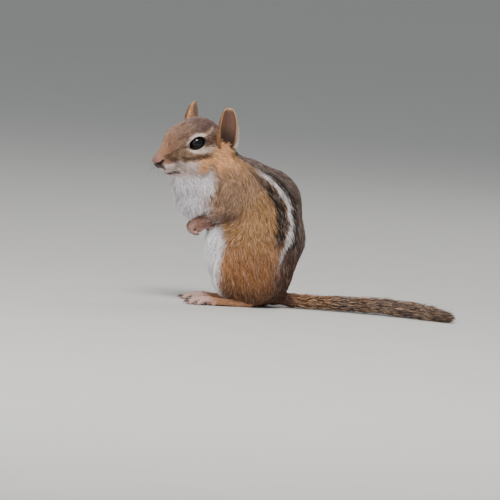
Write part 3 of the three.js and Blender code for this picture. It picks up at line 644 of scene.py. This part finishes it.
def ear_sheet(s, t, side, lift):
    """Point of the ear's shell: s up from the root, t across from -1 to 1, lift outward from its middle."""
    past = (s - 0.5) / 0.5
    half = EAR_HALF * np.where(s > 0.5, np.sqrt(np.maximum(1 - past * past, 0.0)), 1 - 0.3 * past * past)
    bend = np.radians(blend(88, 52, np.minimum(1, s * 1.15)))
    radius = half / np.sin(bend)
    angle = t * bend
    centre = EAR_ROOT + s[..., None] * EAR_LENGTH * EAR_RISES + (3.2 * s * (1 - s))[..., None] * ear_opens
    out = np.sin(angle)[..., None] * ear_across - np.cos(angle)[..., None] * ear_opens
    ridge = 0.25 * np.cos(t * 9) * step(0.05, 0.4, s) * (1 - step(0.75, 0.95, s))
    reach = radius + lift + ridge
    p = centre + radius[..., None] * ear_opens + reach[..., None] * out
    return p * [side, 1, 1]


def ear_mesh(side):
    rows, columns = 34, 26
    s = np.linspace(0, 1, rows + 1) ** 0.9 * 0.985
    t = np.sin(np.linspace(-1, 1, columns + 1) * math.pi / 2)
    s, t = np.meshgrid(s, t, indexing="ij")
    thick = blend(0.5, 0.2, np.maximum(s, np.abs(t) ** 6))
    outer, inner = ear_sheet(s, t, side, thick), ear_sheet(s, t, side, -thick)
    ring = np.concatenate([outer, inner[:, ::-1]], 1)
    n = ring.shape[1]
    points = ring.reshape(-1, 3)
    top = rows * n
    cap = np.array([[top + j, top + j + 1, top + n - 2 - j, top + n - 1 - j] for j in range(columns)])
    quads = np.concatenate([tube_quads(rows + 1, n), cap])
    if side > 0:
        quads = quads[:, ::-1]
    inside = np.concatenate([np.zeros_like(t), np.ones_like(t)], 1).ravel()
    sr = np.concatenate([s, s[:, ::-1]], 1).ravel()
    tr = np.concatenate([t, t[:, ::-1]], 1).ravel()
    edge = np.maximum(step(0.8, 0.97, np.abs(tr)), step(0.9, 0.985, sr))
    colour = np.tile(C["ear"], (len(points), 1))
    # painted shade deep inside the ear, towards its root
    colour = paint(colour, C["pit"], inside * (1 - step(0.2, 0.62, sr + 0.1 * tr)) * 0.92)
    colour = paint(colour, C["buff"] * 1.1, edge * (0.25 + 0.6 * step(0.15, 0.4, sr)))
    return from_head(points), quads, colour


def ear_point(s, t, side, lift=0.0):
    return ear_sheet(np.array([s]), np.array([t]), side, np.array([lift]))[0]


for side, word in SIDES:
    points, quads, colour = ear_mesh(side)
    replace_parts(mesh_object(f"ear_{word}_skin", points, quads, BARE, colour), f"ear_{word}")


# ---- eyes and lids ----
def lathe(profile, sides):
    """Rings of (radius, height) turned round the third axis."""
    angle = np.linspace(0, 2 * math.pi, sides, endpoint=False)
    points = np.array([[r * math.cos(a), r * math.sin(a), h] for r, h in profile for a in angle])
    return points, tube_quads(len(profile), sides)


for (side, word), (centre, axes) in zip(SIDES, eye_axes):
    turns = np.linspace(-math.pi / 2 + 0.02, math.pi / 2 - 0.02, 40)
    cornea = 0.25 * np.exp(-((turns - math.pi / 2) / 0.55) ** 2)
    profile = [((BALL_RADIUS + c) * math.cos(t), (BALL_RADIUS + c) * math.sin(t)) for t, c in zip(turns, cornea)]
    points, quads = lathe(profile, 48)
    flip = slice(None, None, side)
    eye = mesh_object(f"eye_{word}_ball", from_head(points @ axes + centre), quads[:, flip], EYE)
    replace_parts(eye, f"eye_{word}")
    rows, around_tube = 84, 10
    turn_at = np.linspace(0, 2 * math.pi, rows, endpoint=False)
    ca, sa = np.cos(turn_at), np.sin(turn_at)
    corner = np.where(ca < 0, 0.95, 0.6) * np.abs(ca) ** 12
    x = (LID_OPENING[0] * 1.01 + corner) * ca
    y = np.where(sa > 0, LID_OPENING[1], LOWER_LID) * 1.01 * sa + LID_TILT * x
    heights = np.linspace(0.2, 6, 240)
    probe = np.stack([np.repeat(x, len(heights)), np.repeat(y, len(heights)), np.tile(heights, rows)], 1)
    solid = skin_form(from_head(probe @ axes + centre)).reshape(rows, -1) < 0
    on_skin = np.where(solid.any(1), heights[len(heights) - 1 - np.argmax(solid[:, ::-1], 1)], 0)
    on_ball = np.sqrt(np.maximum((EYE_RADIUS + 0.1) ** 2 - x * x - y * y, 0))
    rim = np.stack([x, y, np.maximum(on_ball, on_skin) - 0.05], 1)
    along = unit(np.roll(rim, -1, 0) - np.roll(rim, 1, 0))
    out = unit(rim)
    away = unit(np.cross(along, out))
    thin = 1 - 0.55 * np.abs(ca) ** 12
    turn_tube = np.linspace(0, 2 * math.pi, around_tube, endpoint=False)
    ring = (rim[:, None] + away[:, None] * (0.36 * thin[:, None] * np.cos(turn_tube))[..., None]
            + out[:, None] * (0.3 * thin[:, None] * np.sin(turn_tube))[..., None]).reshape(-1, 3)
    quads = tube_quads(rows, around_tube, closed=True)
    mesh_object(f"lids_{word}", from_head(ring @ axes + centre), quads[:, flip], LID)

# ---- paws and feet ----
def hand_form(side):
    parts = [(chain([[6.9, -24.6, 45.2], [6.2, -29.4, 44.0], [5.5, -32.4, 41.9]], [3.9, 3.8, 2.7], 1), 1)]
    for i in range(4):
        x = 2.6 + 2.0 * i
        c = 0.8 if i in (0, 3) else 0
        joints = [[x, -31.4, 42.8], [x, -34.2 + c, 41.3], [x * 0.99, -33.9 + c, 39.1],
                  [x * 0.97, -31.4 + c, 37.9 + c / 2]]
        parts.append((chain(joints, [1.2, 1.15, 0.92, 0.85], 0.5), 0.45))
    parts.append((chain([[3.4, -28.6, 42], [2.6, -30.2, 40]], [1.1, 0.8]), 0.6))
    parts.append((egg([5.8, -29.6, 40.6], [3.2, 2.4, 1.8]), 1.0))
    form = joined(parts)
    return lambda p: form(p * [side, 1, 1])


# each toe: how far out it stands, and where along the foot it starts and ends
TOES = [(-3.5, 0.6, 0.82), (-1.9, 0.66, 0.955), (0.0, 0.68, 0.985), (1.9, 0.66, 0.96), (3.7, 0.58, 0.84)]
FOOT_LENGTH = 35


def foot_place(side):
    ahead = 0 if side > 0 else 1.2
    c, s = math.cos(math.radians(5)), math.sin(math.radians(5))
    return lambda a, f, z: [14.2 + a * c + f * s, 1.2 - ahead - f * c + a * s, z]


def foot_form(side):
    at = foot_place(side)
    sole = [at(0, 0, 2.4), at(0, 7, 2.2), at(0, 15.8, 2.0)]
    parts = [(chain(sole, [2.2, 2.2, 2.2], 2), 1)]
    for across, start, end in TOES:
        y0, reach = start * FOOT_LENGTH, (end - start) * FOOT_LENGTH
        spread = across * 0.22
        joints = [at(across * 0.55, 10, 2.2), at(across * 0.85, y0 - 3, 2.3), at(across, y0 + reach * 0.3, 3.2),
                  at(across + spread * 0.6, y0 + reach * 0.58, 2.9), at(across + spread, y0 + reach, 1.25)]
        parts.append((chain(joints, [1.7, 1.5, 1.4, 1.15, 1.0], 0.5), 0.5))
        parts.append((egg(at(across, y0 + 0.5, 1.3), [1.2, 1.6, 1.2]), 0.6))
        parts.append((egg(at(across + spread, y0 + reach - 0.3, 0.95), [0.95, 1.3, 0.85]), 0.4))
    form = joined(parts)
    return lambda p: np.maximum(form(p * [side, 1, 1]), 0.06 - p[:, 2])


def flip_box(low, high, side):
    xs = sorted([low[0] * side, high[0] * side])
    return [xs[0], *low[1:]], [xs[1], *high[1:]]


paws = []
for side, word in SIDES:
    hand = net(hand_form(side), *flip_box([-0.5, -37, 35.5], [12.5, -20, 50], side), 0.3 * COARSE)
    q = hand[0]
    colour = np.tile(C["hand"], (len(q), 1))
    colour = paint(colour, C["toe"] * 0.85, step(42.5, 40.5, q[:, 2]) * 0.7)
    # painted shade on the underside of the paw
    colour = paint(colour, C["dark"] * 3, step(39.4, 38.0, q[:, 2]) * 0.45)
    piece = mesh_object(f"front_paw_{word}_skin", q, hand[2], BARE, colour)
    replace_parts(piece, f"front_paw_{word}")
    foot = net(foot_form(side), *flip_box([7, -39, -1], [25, 5, 8], side), 0.32 * COARSE)
    q = foot[0]
    colour = np.tile(C["foot"], (len(q), 1))
    colour = paint(colour, C["toe"], step(-16, -23, q[:, 1]))
    piece = mesh_object(f"hind_foot_{word}_skin", q, foot[2], BARE, colour)
    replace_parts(piece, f"hind_foot_{word}")
    paws.append((hand, foot))


def sweep(path, radii, sides=6, steps=6):
    """A curved cone through three or more points."""
    path = np.array(path, float)
    t = np.linspace(0, 1, steps + 1)
    a, b, c = path[0], path[len(path) // 2], path[-1]
    control = 2 * b - (a + c) / 2
    centre = ((1 - t) ** 2)[:, None] * a + (2 * t * (1 - t))[:, None] * control + (t ** 2)[:, None] * c
    ahead = unit(np.gradient(centre, axis=0))
    other = unit(np.cross(ahead, [0.31, 0.2, 0.93]))
    third = np.cross(ahead, other)
    r = np.interp(t, np.linspace(0, 1, len(radii)), radii)
    angle = np.linspace(0, 2 * math.pi, sides, endpoint=False)
    spokes = np.cos(angle)[:, None] * other[:, None] + np.sin(angle)[:, None] * third[:, None]
    ring = centre[:, None] + r[:, None, None] * spokes
    return ring.reshape(-1, 3), tube_quads(steps + 1, sides)


def bundle(name, sweeps, material, colour=None):
    points, quads, base = [], [], 0
    for p, q in sweeps:
        points.append(p)
        quads.append(q + base)
        base += len(p)
    colours = None if colour is None else np.tile(colour, (base, 1))
    return mesh_object(name, np.concatenate(points), np.concatenate(quads), material, colours)


for side, word in SIDES:
    forward = np.array([0.35 * side, -0.9, 0])
    edge = [ear_point(a, -1.0, side) + forward * b for a, b in ((0.0, 0.7), (0.45, 0.4), (0.93, 0.0))]
    bundle(f"ear_{word}_fold", [sweep([from_head(p) for p in edge], [1.3, 0.8, 0.25], 10, 10)], BARE,
           C["cheek"] * 0.5)

for side, word in SIDES:
    claws = []
    for i in range(4):
        x = (2.6 + 2.0 * i) * 0.97
        c = 0.8 if i in (0, 3) else 0
        path = np.array([[x, y + c, z + c / 2] for y, z in ((-31.8, 38), (-30.6, 37.4), (-29.6, 37.7))])
        claws.append(sweep(path * [side, 1, 1], [0.5, 0.4, 0.06]))
    at = foot_place(side)
    for across, start, end in TOES:
        y, tip = end * FOOT_LENGTH, across * 1.22
        path = np.array([at(tip, y + 0.1, 1.6), at(tip * 1.02, y + 1.7, 1.75), at(tip * 1.04, y + 2.9, 0.7)])
        claws.append(sweep(path * [side, 1, 1], [0.6, 0.45, 0.06]))
    bundle(f"claws_{word}", claws, CLAW)

# ---- the coat ----
GUIDES = [  # where, and the way the hair lies, on the left side
    ([0, -2, 80], [0, 0.75, -0.65]), ([0, 22, 66], [0, 0.4, -0.92]), ([0, 30, 45], [0, 0.05, -1]),
    ([0, 25, 20], [0, 0.25, -1]), ([0, 22, 8], [0, 0.9, -0.4]), ([20, 5, 62], [0.1, 0.5, -0.86]),
    ([22, 8, 42], [0, 0.3, -0.95]), ([25, 0, 25], [0, 0.16, -1]), ([20, -16, 22], [0, 0.12, -1]),
    ([22, 0, 8], [0.1, 0.3, -1]), ([18, -16, 7], [0, -0.5, -0.8]), ([17, -8, 68], [0.15, 0.1, -1]),
    ([20, -12, 57], [0, -0.3, -0.95]), ([18, -17, 47], [-0.35, -0.88, -0.25]), ([8, -27, 46], [-0.4, -0.88, -0.2]),
    ([14, -18, 80], [0.2, 0.45, -0.87]), ([4, -6, 88], [0, 0.6, -0.8]), ([0, -36, 70], [0, -0.1, -1]),
    ([10, -32, 68], [0.2, 0.1, -1]), ([0, -38, 58], [0, 0.2, -1]), ([0, -33, 50], [0, 0.2, -1]),
    ([0, -25, 36], [0, 0.05, -1]), ([12, -22, 30], [-0.1, 0, -1]), ([0, -20, 12], [0, 0.3, -0.95]),
    ([0, 27, 6], [0, 1, -0.1]),
]
HEAD_GUIDES = [
    ([0, -20, -3], [0, 0.7, 0.7]), ([0, -14, 1.5], [0, 0.85, 0.5]), ([0, -6, 9], [0, 0.85, 0.5]),
    ([0, 6, 14], [0, 1, 0]), ([0, 17, 11], [0, 0.85, -0.5]), ([5.5, -14, -5], [0.45, 0.88, -0.05]),
    ([4, -15, -11], [0.45, 0.8, -0.4]), ([11, -5, -5], [0.25, 0.95, -0.15]), ([14, 3, -6], [0.15, 0.95, -0.28]),
    ([12, 0, -14], [0.15, 0.8, -0.6]), ([0, -11, -16.5], [0, 0.9, -0.3]), ([9.5, -1, 8], [0.2, 0.95, 0.25]),
    ([12.5, 8, 3], [0.1, 1, 0]), ([11, 14, 7], [0.2, 0.75, 0.6]), ([14, 12, -9], [0.2, 0.8, -0.55]),
]


def flow_table():
    at, way = [], []
    for flip in (1, -1):
        at += [np.array(p, float) * [flip, 1, 1] for p, _ in GUIDES]
        way += [unit(np.array(d, float)) * [flip, 1, 1] for _, d in GUIDES]
    for flip in (1, -1):
        at += [from_head(np.array(p) * [flip, 1, 1]) for p, _ in HEAD_GUIDES]
        way += [(unit(np.array(d, float)) * [flip, 1, 1]) @ HEAD.T for _, d in HEAD_GUIDES]
    for a, b in zip(TAIL_PATH[2:], TAIL_PATH[3:]):
        at.append(np.array(a, float))
        way.append(unit(np.array(b, float) - a))
    return np.array(at), np.array(way)


FLOW_AT, FLOW_WAY = flow_table()


def flow(p):
    total = np.zeros_like(p)
    for at, way in zip(FLOW_AT, FLOW_WAY):
        weight = 1 / (np.linalg.norm(p - at, axis=1) ** 3.5 + 8)
        total += weight[:, None] * way
    return unit(total)


def scatter(points, normals, faces, density):
    """Roots spread over quads with a density per square millimetre given at each quad."""
    corner = points[faces]
    area = 0.5 * np.linalg.norm(np.cross(corner[:, 2] - corner[:, 0], corner[:, 3] - corner[:, 1]), axis=1)
    share = np.cumsum(area * density)
    number = int(share[-1] * (1))
    pick = np.searchsorted(share, rng.random(number) * share[-1])
    u, v = rng.random((2, number, 1))

    def mixed(a):
        return (a[:, 0] * (1 - u) + a[:, 1] * u) * (1 - v) + (a[:, 3] * (1 - u) + a[:, 2] * u) * v

    return mixed(corner[pick]), unit(mixed(normals[faces][pick]))


BLOCK = 22  # mm across one block of the unwrap
BLOCKS_FROM = [50, 60, 10]  # moves every root to positive numbers


def tile_place(p, n):
    """Place of a root on the skin's own unwrap: one tile for each block and each way that the skin faces."""
    way = np.argmax(np.abs(n), 1)
    sign = (n[np.arange(len(n)), way] > 0).astype(int)
    block = np.floor((p + BLOCKS_FROM) / BLOCK).astype(int)
    key = ((block[:, 0] * 16 + block[:, 1]) * 16 + block[:, 2]) * 6 + way * 2 + sign
    names, tile = np.unique(key, return_inverse=True)
    across = math.ceil(math.sqrt(len(names)))
    inside = np.mod(p + BLOCKS_FROM, BLOCK) / BLOCK
    u = inside[np.arange(len(p)), (way + 1) % 3]
    v = inside[np.arange(len(p)), (way + 2) % 3]
    corner = np.stack([tile % across, tile // across], 1)
    return (corner + 0.06 + 0.88 * np.stack([u, v], 1)) / across


# the triangles of one tuft: three corners at the root, three at the bend, the tip
BLADE = np.array([
    [0, 1, 4], [0, 4, 3], [1, 2, 5], [1, 5, 4], [2, 0, 3], [2, 3, 5], [3, 4, 6], [4, 5, 6], [5, 3, 6], [2, 1, 0],
])
# a tuft's patch on the unwrap, 0.003 across
PATCH = np.array([[0, 0], [1, 0], [0.5, 0.15], [0.1, 0.5], [0.9, 0.5], [0.5, 0.6], [0.5, 1]]) * 0.003 - 0.0015
LIMIT = 19500  # tufts in one piece, which keeps it under 200,000 triangles


def grow(name, roots, normals, ways, length, width, lift, colour, curl=0.45, ticking=0.0, grain=0.3):
    """Tufts: three-sided tapered blades with one bend, each a closed body."""
    number = len(roots)
    ways = unit(ways - normals * (ways * normals).sum(1, keepdims=True))
    side = np.cross(ways, normals)
    stray = rng.normal(0, 0.16, (number, 1)) + 0.16 * wobble(roots, 2.2)[:, None]
    ways = unit(ways + side * stray)
    side = np.cross(ways, normals)
    length = length * rng.uniform(0.72, 1.18, number)
    width = width * rng.uniform(0.75, 1.2, number)
    rise = lift * rng.uniform(0.6, 1.4, number) + 0.05 * wobble(roots, 3.1, 4.0)
    c, s = np.cos(rise)[:, None], np.sin(rise)[:, None]
    c2, s2 = np.cos(rise * (1 - 2 * curl))[:, None], np.sin(rise * (1 - 2 * curl))[:, None]
    base = roots - normals * 0.12
    half = base + (ways * c + normals * s) * (0.5 * length)[:, None]
    tip = half + (ways * c2 + normals * s2) * (0.5 * length)[:, None]
    w = width[:, None]
    points = np.stack([
        base - side * w * 0.5, base + side * w * 0.5, base + normals * w * 0.45,
        half - side * w * 0.42, half + side * w * 0.42, half + normals * w * 0.4, tip], 1)
    tone = rng.normal(1, 0.1, number) * (1 + 0.07 * wobble(roots, 1.7, 1.0) + 0.06 * wobble(roots, 5.0, 2.0))
    tone = (tone * (1 + grain * (fleck(roots, 0.6) - 0.5)))[:, None, None]
    pale = step(0.4, 0.7, colour.mean(1))[:, None, None]
    shade = blend(np.array([0.45, 0.45, 0.5, 0.95, 0.95, 1.0, 1.15])[None, :, None], 1.0, 0.65 * pale)
    tint = colour[:, None, :] * tone * shade
    if np.ndim(ticking) or ticking:
        chance = 0.55 * rng.random(number) + 0.45 * fleck(roots, 0.8)
        darker = chance < np.where(ticking > 0.02, 0.14 + 0.6 * ticking, 0)
        paler = chance > np.where(ticking > 0.02, 0.88 - 0.5 * ticking, 2)
        tint[darker, 3:] *= np.array([0.6, 0.6, 0.5, 0.35])[:, None]
        tint[paler, 5:] = blend(tint[paler, 5:], C["cream"], 0.34)
    points[..., 2] = np.maximum(points[..., 2], 0.04)
    places = tile_place(roots, normals)
    for k, start in enumerate(range(0, number, LIMIT)):
        cut = slice(start, start + LIMIT)
        chunk = points[cut]
        m = len(chunk)
        faces = (np.arange(m)[:, None, None] * 7 + BLADE).reshape(-1, 3)
        piece = mesh_object(f"{name}_{k + 1}", chunk.reshape(-1, 3), faces, FUR,
                            np.clip(tint[cut], 0, 1).reshape(-1, 3), smooth=False)
        layer = piece.data.uv_layers.new(name="OFBake")
        uv = (places[cut][:, None, :] + PATCH)[np.arange(m)[:, None, None], BLADE]
        layer.data.foreach_set("uv", uv.astype(np.float32).ravel())


EAR_FRONT = [[12, 11, 6], [14.5, 12.4, 2], [16.8, 14, -3.5], [17.6, 17, -6]]


def coat_sizes(p, q, share):
    """Length, width and lift of the hair at each root."""
    face = step(-20, -8, q[:, 1])
    head_length = blend(0.75, 2.4, face) + 1.6 * step(4, 16, q[:, 1])
    for side in (0, 1):
        e = eye_place(q, side)
        ring = lid_ratio(e)
        head_length = blend(head_length, 0.8, (1 - step(1.15, 1.9, ring)) * (e[:, 2] > 0))
    head_length = blend(head_length, 1.1, near(to_left(q), EAR_FRONT, 2.2, 4.2))
    length = blend(BODY_HAIR, head_length, share)
    low = step(14, 4, p[:, 2]) * (1 - share)
    length = blend(length, 4.0, low)
    front = step(120, 150, around(p)) * (1 - share)
    arm = (1 - step(0, 2, np.minimum(upper_arms(p), forearms(p)) + BODY_COAT)) * (1 - share)
    length = blend(length, 3.4, arm)
    width = 0.085 + 0.052 * length
    bib = step(-20, -34, p[:, 1]) * step(40, 52, p[:, 2]) * (1 - share)
    length = length + 1.4 * bib
    lift = blend(0.3 + 0.15 * front, 0.26, share) - 0.1 * low + 0.18 * bib
    return length, width, lift


# head and body
middle = skin[0][skin[2]].mean(1)
mid_normal = unit(skin[1][skin[2]].mean(1))
q_mid = to_head(middle)
share = head_share_of(middle, q_mid)
length, width, _ = coat_sizes(middle, q_mid, share)
density = 4.4 / (length * width)
eye_gap = np.ones(len(middle))
for side in (0, 1):
    e = eye_place(q_mid, side)
    ring = lid_ratio(e)
    eye_gap *= np.where(e[:, 2] > 0, step(1.0, 1.08, ring), 1)
density = density * eye_gap * (1 - step(-19.2, -20.2, q_mid[:, 1]) * share)
mirrored = to_left(q_mid)
in_pit = step(0.9, 0.1, ear_pits(mirrored)) * share
notch = near(mirrored, [[15.5, 14.5, -1], [15.8, 15.5, -5]], 2.0, 3.0) * share
slit = mouth_line(q_mid, head_form(q_mid))
density = density * (middle[:, 2] > 0.8) * (1 - 0.97 * np.maximum(in_pit, notch))
density = density * np.where(share > 0.5, step(0.0, 0.3, slit), 1)
density = density * step(0.6, 0.8, np.linalg.norm(mid_normal, axis=1))
density[middle[:, 1] > 30] = 0  # the tail has its own coat
roots, normals = scatter(skin[0], skin[1], skin[2], density)
q = to_head(roots)
share = head_share_of(roots, q)
length, width, lift = coat_sizes(roots, q, share)
jitter = rng.normal(0, 1, roots.shape) * blend(0.7, 0.22, share)[:, None]
colour = coat_colour(outer_points(roots, normals) + jitter)
ways = flow(roots)
grey = step(0.62, 0.36, colour.mean(1))
ticking = blend(0.3, 0.26 * step(-19, -12, q[:, 1]), share) * grey
is_head = share > 0.5
is_haunch = ~is_head & (roots[:, 2] < 44) & (haunches(roots) < -BODY_COAT + 1.2)
for name, mask, slot in (("coat_head", is_head, "body_fur"), ("coat_haunch", is_haunch, "haunch_fur"),
                         ("coat_body", ~is_head & ~is_haunch, "body_fur")):
    grow(name, roots[mask], normals[mask], ways[mask], length[mask], width[mask], lift[mask], colour[mask],
         ticking=ticking[mask], grain=0.55 if name == "coat_head" else 0.3)

# tail: longer banded hair that opens into a brush
number = int(TUFTS_TAIL * (1))
path = np.array(TAIL_PATH, float)
along = rng.uniform(0.14, 0.985, number)
knots = np.linspace(0, 1, len(path))


def on_tail(share):
    return np.stack([np.interp(share, knots, path[:, i]) for i in range(3)], 1)


centre = on_tail(along)
ahead = unit(on_tail(along + 0.02) - on_tail(along - 0.02))
brush = np.interp(along, knots, TAIL_BRUSH)
angle = rng.uniform(0, 2 * math.pi, number)
sideways = unit(np.cross(ahead, [0, 0, 1]))
upward = np.cross(sideways, ahead)
out = sideways * np.cos(angle)[:, None] + upward * np.sin(angle)[:, None]
core = np.interp(along, knots, [3.2, 2.9, 2.5, 2.3, 2.1, 1.7, 1.0, 0.5])
tail_roots = centre + out * (core * rng.uniform(0.5, 1.0, number))[:, None]
tail_length = np.interp(along, [0.1, 0.35, 0.8, 1], [6, 8.5, 10.5, 9]) * rng.uniform(0.8, 1.1, number)
tail_lift = np.arcsin(np.clip((brush - core) / tail_length * 1.25, 0.05, 0.7)) * rng.uniform(0.35, 1.25, number)
band = rng.random(number)
toward_tip = step(0.2, 0.5, along + 0.15 * wobble(centre, 4))
tail_colour = paint(np.tile(C["shaded_rust"] * 1.8, (number, 1)), C["back"] * 1.9, toward_tip)
tail_colour = paint(tail_colour, C["black"] * 2, (band < 0.36) * 0.9)
tail_colour = paint(tail_colour, C["buff"], (band > 0.72) * 0.9)
# painted shade on the underside of the tail
tail_colour = paint(tail_colour, C["dark"], step(0.3, -0.9, np.sin(angle)) * 0.3)
grow("coat_tail", tail_roots, out, ahead, tail_length, 0.34, tail_lift, tail_colour, curl=0.55)

# ears: short hair outside and on the rim, hair along the front edge, pale hair at the root
for flip, word in SIDES:
    number = int(TUFTS_EAR * (1))
    s = rng.uniform(0.05, 0.985, number)
    t = np.sign(rng.uniform(-1, 1, number)) * rng.random(number) ** 0.6
    thick = blend(0.5, 0.2, np.maximum(s, np.abs(t) ** 6))
    at = ear_sheet(s, t, flip, thick)
    inner = ear_sheet(s, t, flip, -thick)
    higher = ear_sheet(np.minimum(s + 0.02, 0.99), t, flip, thick)
    outward = unit(at - inner) @ HEAD.T
    ways = unit(higher - at + 1e-6) @ HEAD.T
    hair = paint(np.tile(C["forehead"], (number, 1)), C["cheek"] * 0.8, step(0.2, 0.9, -t))
    hair = paint(hair, C["buff"], step(0.85, 0.98, np.abs(t)) * 0.6)
    grow(f"coat_ear_{word}", from_head(at), outward, ways, blend(2.2, 1.1, s), 0.15, 0.3, hair, ticking=0.1)

    number = int(TUFTS_EAR_FRONT * (1))
    s = 0.9 * rng.random(number) ** 1.3
    forward = np.array([0.35 * flip, -0.9, 0])
    girth = np.interp(s, [0, 0.45, 0.93], [1.25, 0.75, 0.22])[:, None]
    outward = unit(forward + rng.normal(0, 0.75, (number, 3)))
    offset = np.interp(s, [0, 0.45, 0.93], [0.7, 0.4, 0])[:, None]
    at = ear_sheet(s, np.full(number, -1.0), flip, 0 * s) + forward * offset + outward * girth
    hair = paint(np.tile(C["cheek"] * 0.55, (number, 1)), C["brown"] * 1.6, rng.random(number) * 0.8)
    ways = np.tile(EAR_RISES * [flip, 1, 1], (number, 1))
    grow(f"coat_ear_front_{word}", from_head(at), outward @ HEAD.T, ways @ HEAD.T, blend(2.4, 0.7, s), 0.15, 0.2, hair)

    number = int(TUFTS_EAR_ROOT * (1))
    s = 0.02 + 0.5 * rng.random(number) ** 1.6
    t = 1 - 0.6 * rng.random(number) ** 1.8
    at = ear_sheet(s, t, flip, np.full(number, 0.2))
    outward = unit(np.array([0.75 * flip, 0.55, 0.1]) + rng.normal(0, 0.2, (number, 3)))
    ways = np.array([0.3 * flip, 0.85, 0.35]) + rng.normal(0, 0.2, (number, 3))
    mixing = rng.random(number) * step(0.2, 0.5, s + 0.5 * (1 - t))
    hair = paint(np.tile(C["cream"] * 1.05, (number, 1)), C["buff"], mixing)
    higher_up = np.clip(2 * s, 0, 1)
    grow(f"coat_ear_tuft_{word}", from_head(at), outward @ HEAD.T, ways @ HEAD.T, blend(3.9, 2.0, higher_up), 0.2,
         blend(0.5, 0.25, higher_up), hair)

# paws: the smallest hair, on the backs only
for (hand, foot), (side, word) in zip(paws, SIDES):
    for part, (points, normals, quads) in (("hand", hand), ("foot", foot)):
        middle = points[quads].mean(1)
        facing = normals[quads].mean(1)
        if part == "hand":
            amount = 16 * step(38.6, 41, middle[:, 2]) * step(-0.75, 0.1, facing[:, 2])
        else:
            amount = 14 * step(-0.1, 0.5, facing[:, 2]) * (middle[:, 2] > 1)
        at, up = scatter(points, normals, quads, amount)
        if part == "hand":
            ways = np.tile([-0.12 * side, -0.85, -0.5], (len(at), 1))
            size = blend(2.0, 0.8, step(-26, -34, at[:, 1]))
            colour = np.tile(C["hand"], (len(at), 1))
        else:
            ways = np.tile([0.09 * side, -1, -0.05], (len(at), 1))
            size = blend(2.0, 0.8, step(-10, -26, at[:, 1]))
            colour = blend(C["foot"], C["toe"], step(-18, -26, at[:, 1])[:, None])
        grow(f"coat_{part}_{word}", at, up, ways, size, 0.08 + 0.05 * size, 0.25, colour)

# whiskers
hairs = []
for flip in (1, -1):
    for row in range(4):
        for k in range(5):
            root = np.array([3.4 + 0.55 * k + 0.2 * row, -18.2 + 1.7 * k, -5.6 - 1.25 * row]) * [flip, 1, 1]
            sideways = (0.34 if flip > 0 else 0.6) + 0.04 * k
            forward = -0.3 + 0.24 * k + 0.05 * rng.normal()
            way = unit(np.array([sideways * flip, forward, -0.22 - 0.14 * row + 0.06 * rng.normal()]))
            reach = rng.uniform(8, 14) * (0.8 + 0.07 * k)
            start = root - way * 0.5
            bend = start + way * reach * 0.5 + np.array([0, 0.03, 0.02]) * reach
            end = start + way * reach + np.array([0, 0.16, -0.06]) * reach
            hairs.append(sweep([from_head(start), from_head(bend), from_head(end)], [0.075, 0.05, 0.012], 4, 8))
bundle("whiskers", hairs, WHISKER)

# ---- stage, light and camera ----
TARGET = Vector((0, 0, 0.0305))
AZIMUTH, ELEVATION, ROLL = math.radians(86), math.radians(4), math.radians(4)
ACROSS = 0.275  # metres across the picture at the animal
DISTANCE = 3.5
SENSOR = 36
toward = Vector((math.sin(AZIMUTH) * math.cos(ELEVATION), -math.cos(AZIMUTH) * math.cos(ELEVATION),
                 math.sin(ELEVATION)))
camera = bpy.data.cameras.new("camera")
camera.sensor_width = SENSOR
camera.lens = SENSOR * DISTANCE / ACROSS
camera.clip_end = 20
camera_object = bpy.data.objects.new("camera", camera)
camera_object.matrix_world = (
    Matrix.Translation(TARGET + toward * DISTANCE)
    @ toward.to_track_quat("Z", "Y").to_matrix().to_4x4()
    @ Matrix.Rotation(ROLL, 4, "Z"))
bpy.context.scene.collection.objects.link(camera_object)
bpy.context.scene.camera = camera_object

floor_material = plain_material("floor", (0.62, 0.61, 0.58), 0.8, mottle=0.03, scale=30)
floor_mesh = bpy.data.meshes.new("floor")
FLOOR = 20
floor_mesh.from_pydata([(x * FLOOR, y * FLOOR, 0) for x, y in ((-1, -1), (1, -1), (1, 1), (-1, 1))], [], [(0, 1, 2, 3)])
floor_mesh.materials.append(floor_material)
floor = bpy.data.objects.new("floor", floor_mesh)
bpy.context.scene.collection.objects.link(floor)


def lamp(name, place, size, power, colour):
    light = bpy.data.lights.new(name, "AREA")
    light.shape = "DISK"
    light.size = size
    light.energy = power
    light.color = colour
    made = bpy.data.objects.new(name, light)
    place = Vector(place)
    away = place - Vector((0, -0.01, 0.05))  # from the middle of the body
    made.matrix_world = Matrix.Translation(place) @ away.to_track_quat("Z", "Y").to_matrix().to_4x4()
    bpy.context.scene.collection.objects.link(made)


lamp("key", (0.75, -0.1, 1.05), 0.55, 17, (1.0, 0.97, 0.93))
lamp("front", (0.8, -0.95, 0.55), 0.7, 4.5, (0.86, 0.92, 1.0))
lamp("back", (-0.8, 0.5, 0.9), 0.7, 3.5, (1.0, 0.97, 0.94))
world = bpy.data.worlds.new("world")
world.use_nodes = True
background = world.node_tree.nodes["Background"]
socket(background, "Color", (0.80, 0.84, 0.88, 1))
socket(background, "Strength", 0.42)
bpy.context.scene.world = world

bpy.context.view_layer.update()
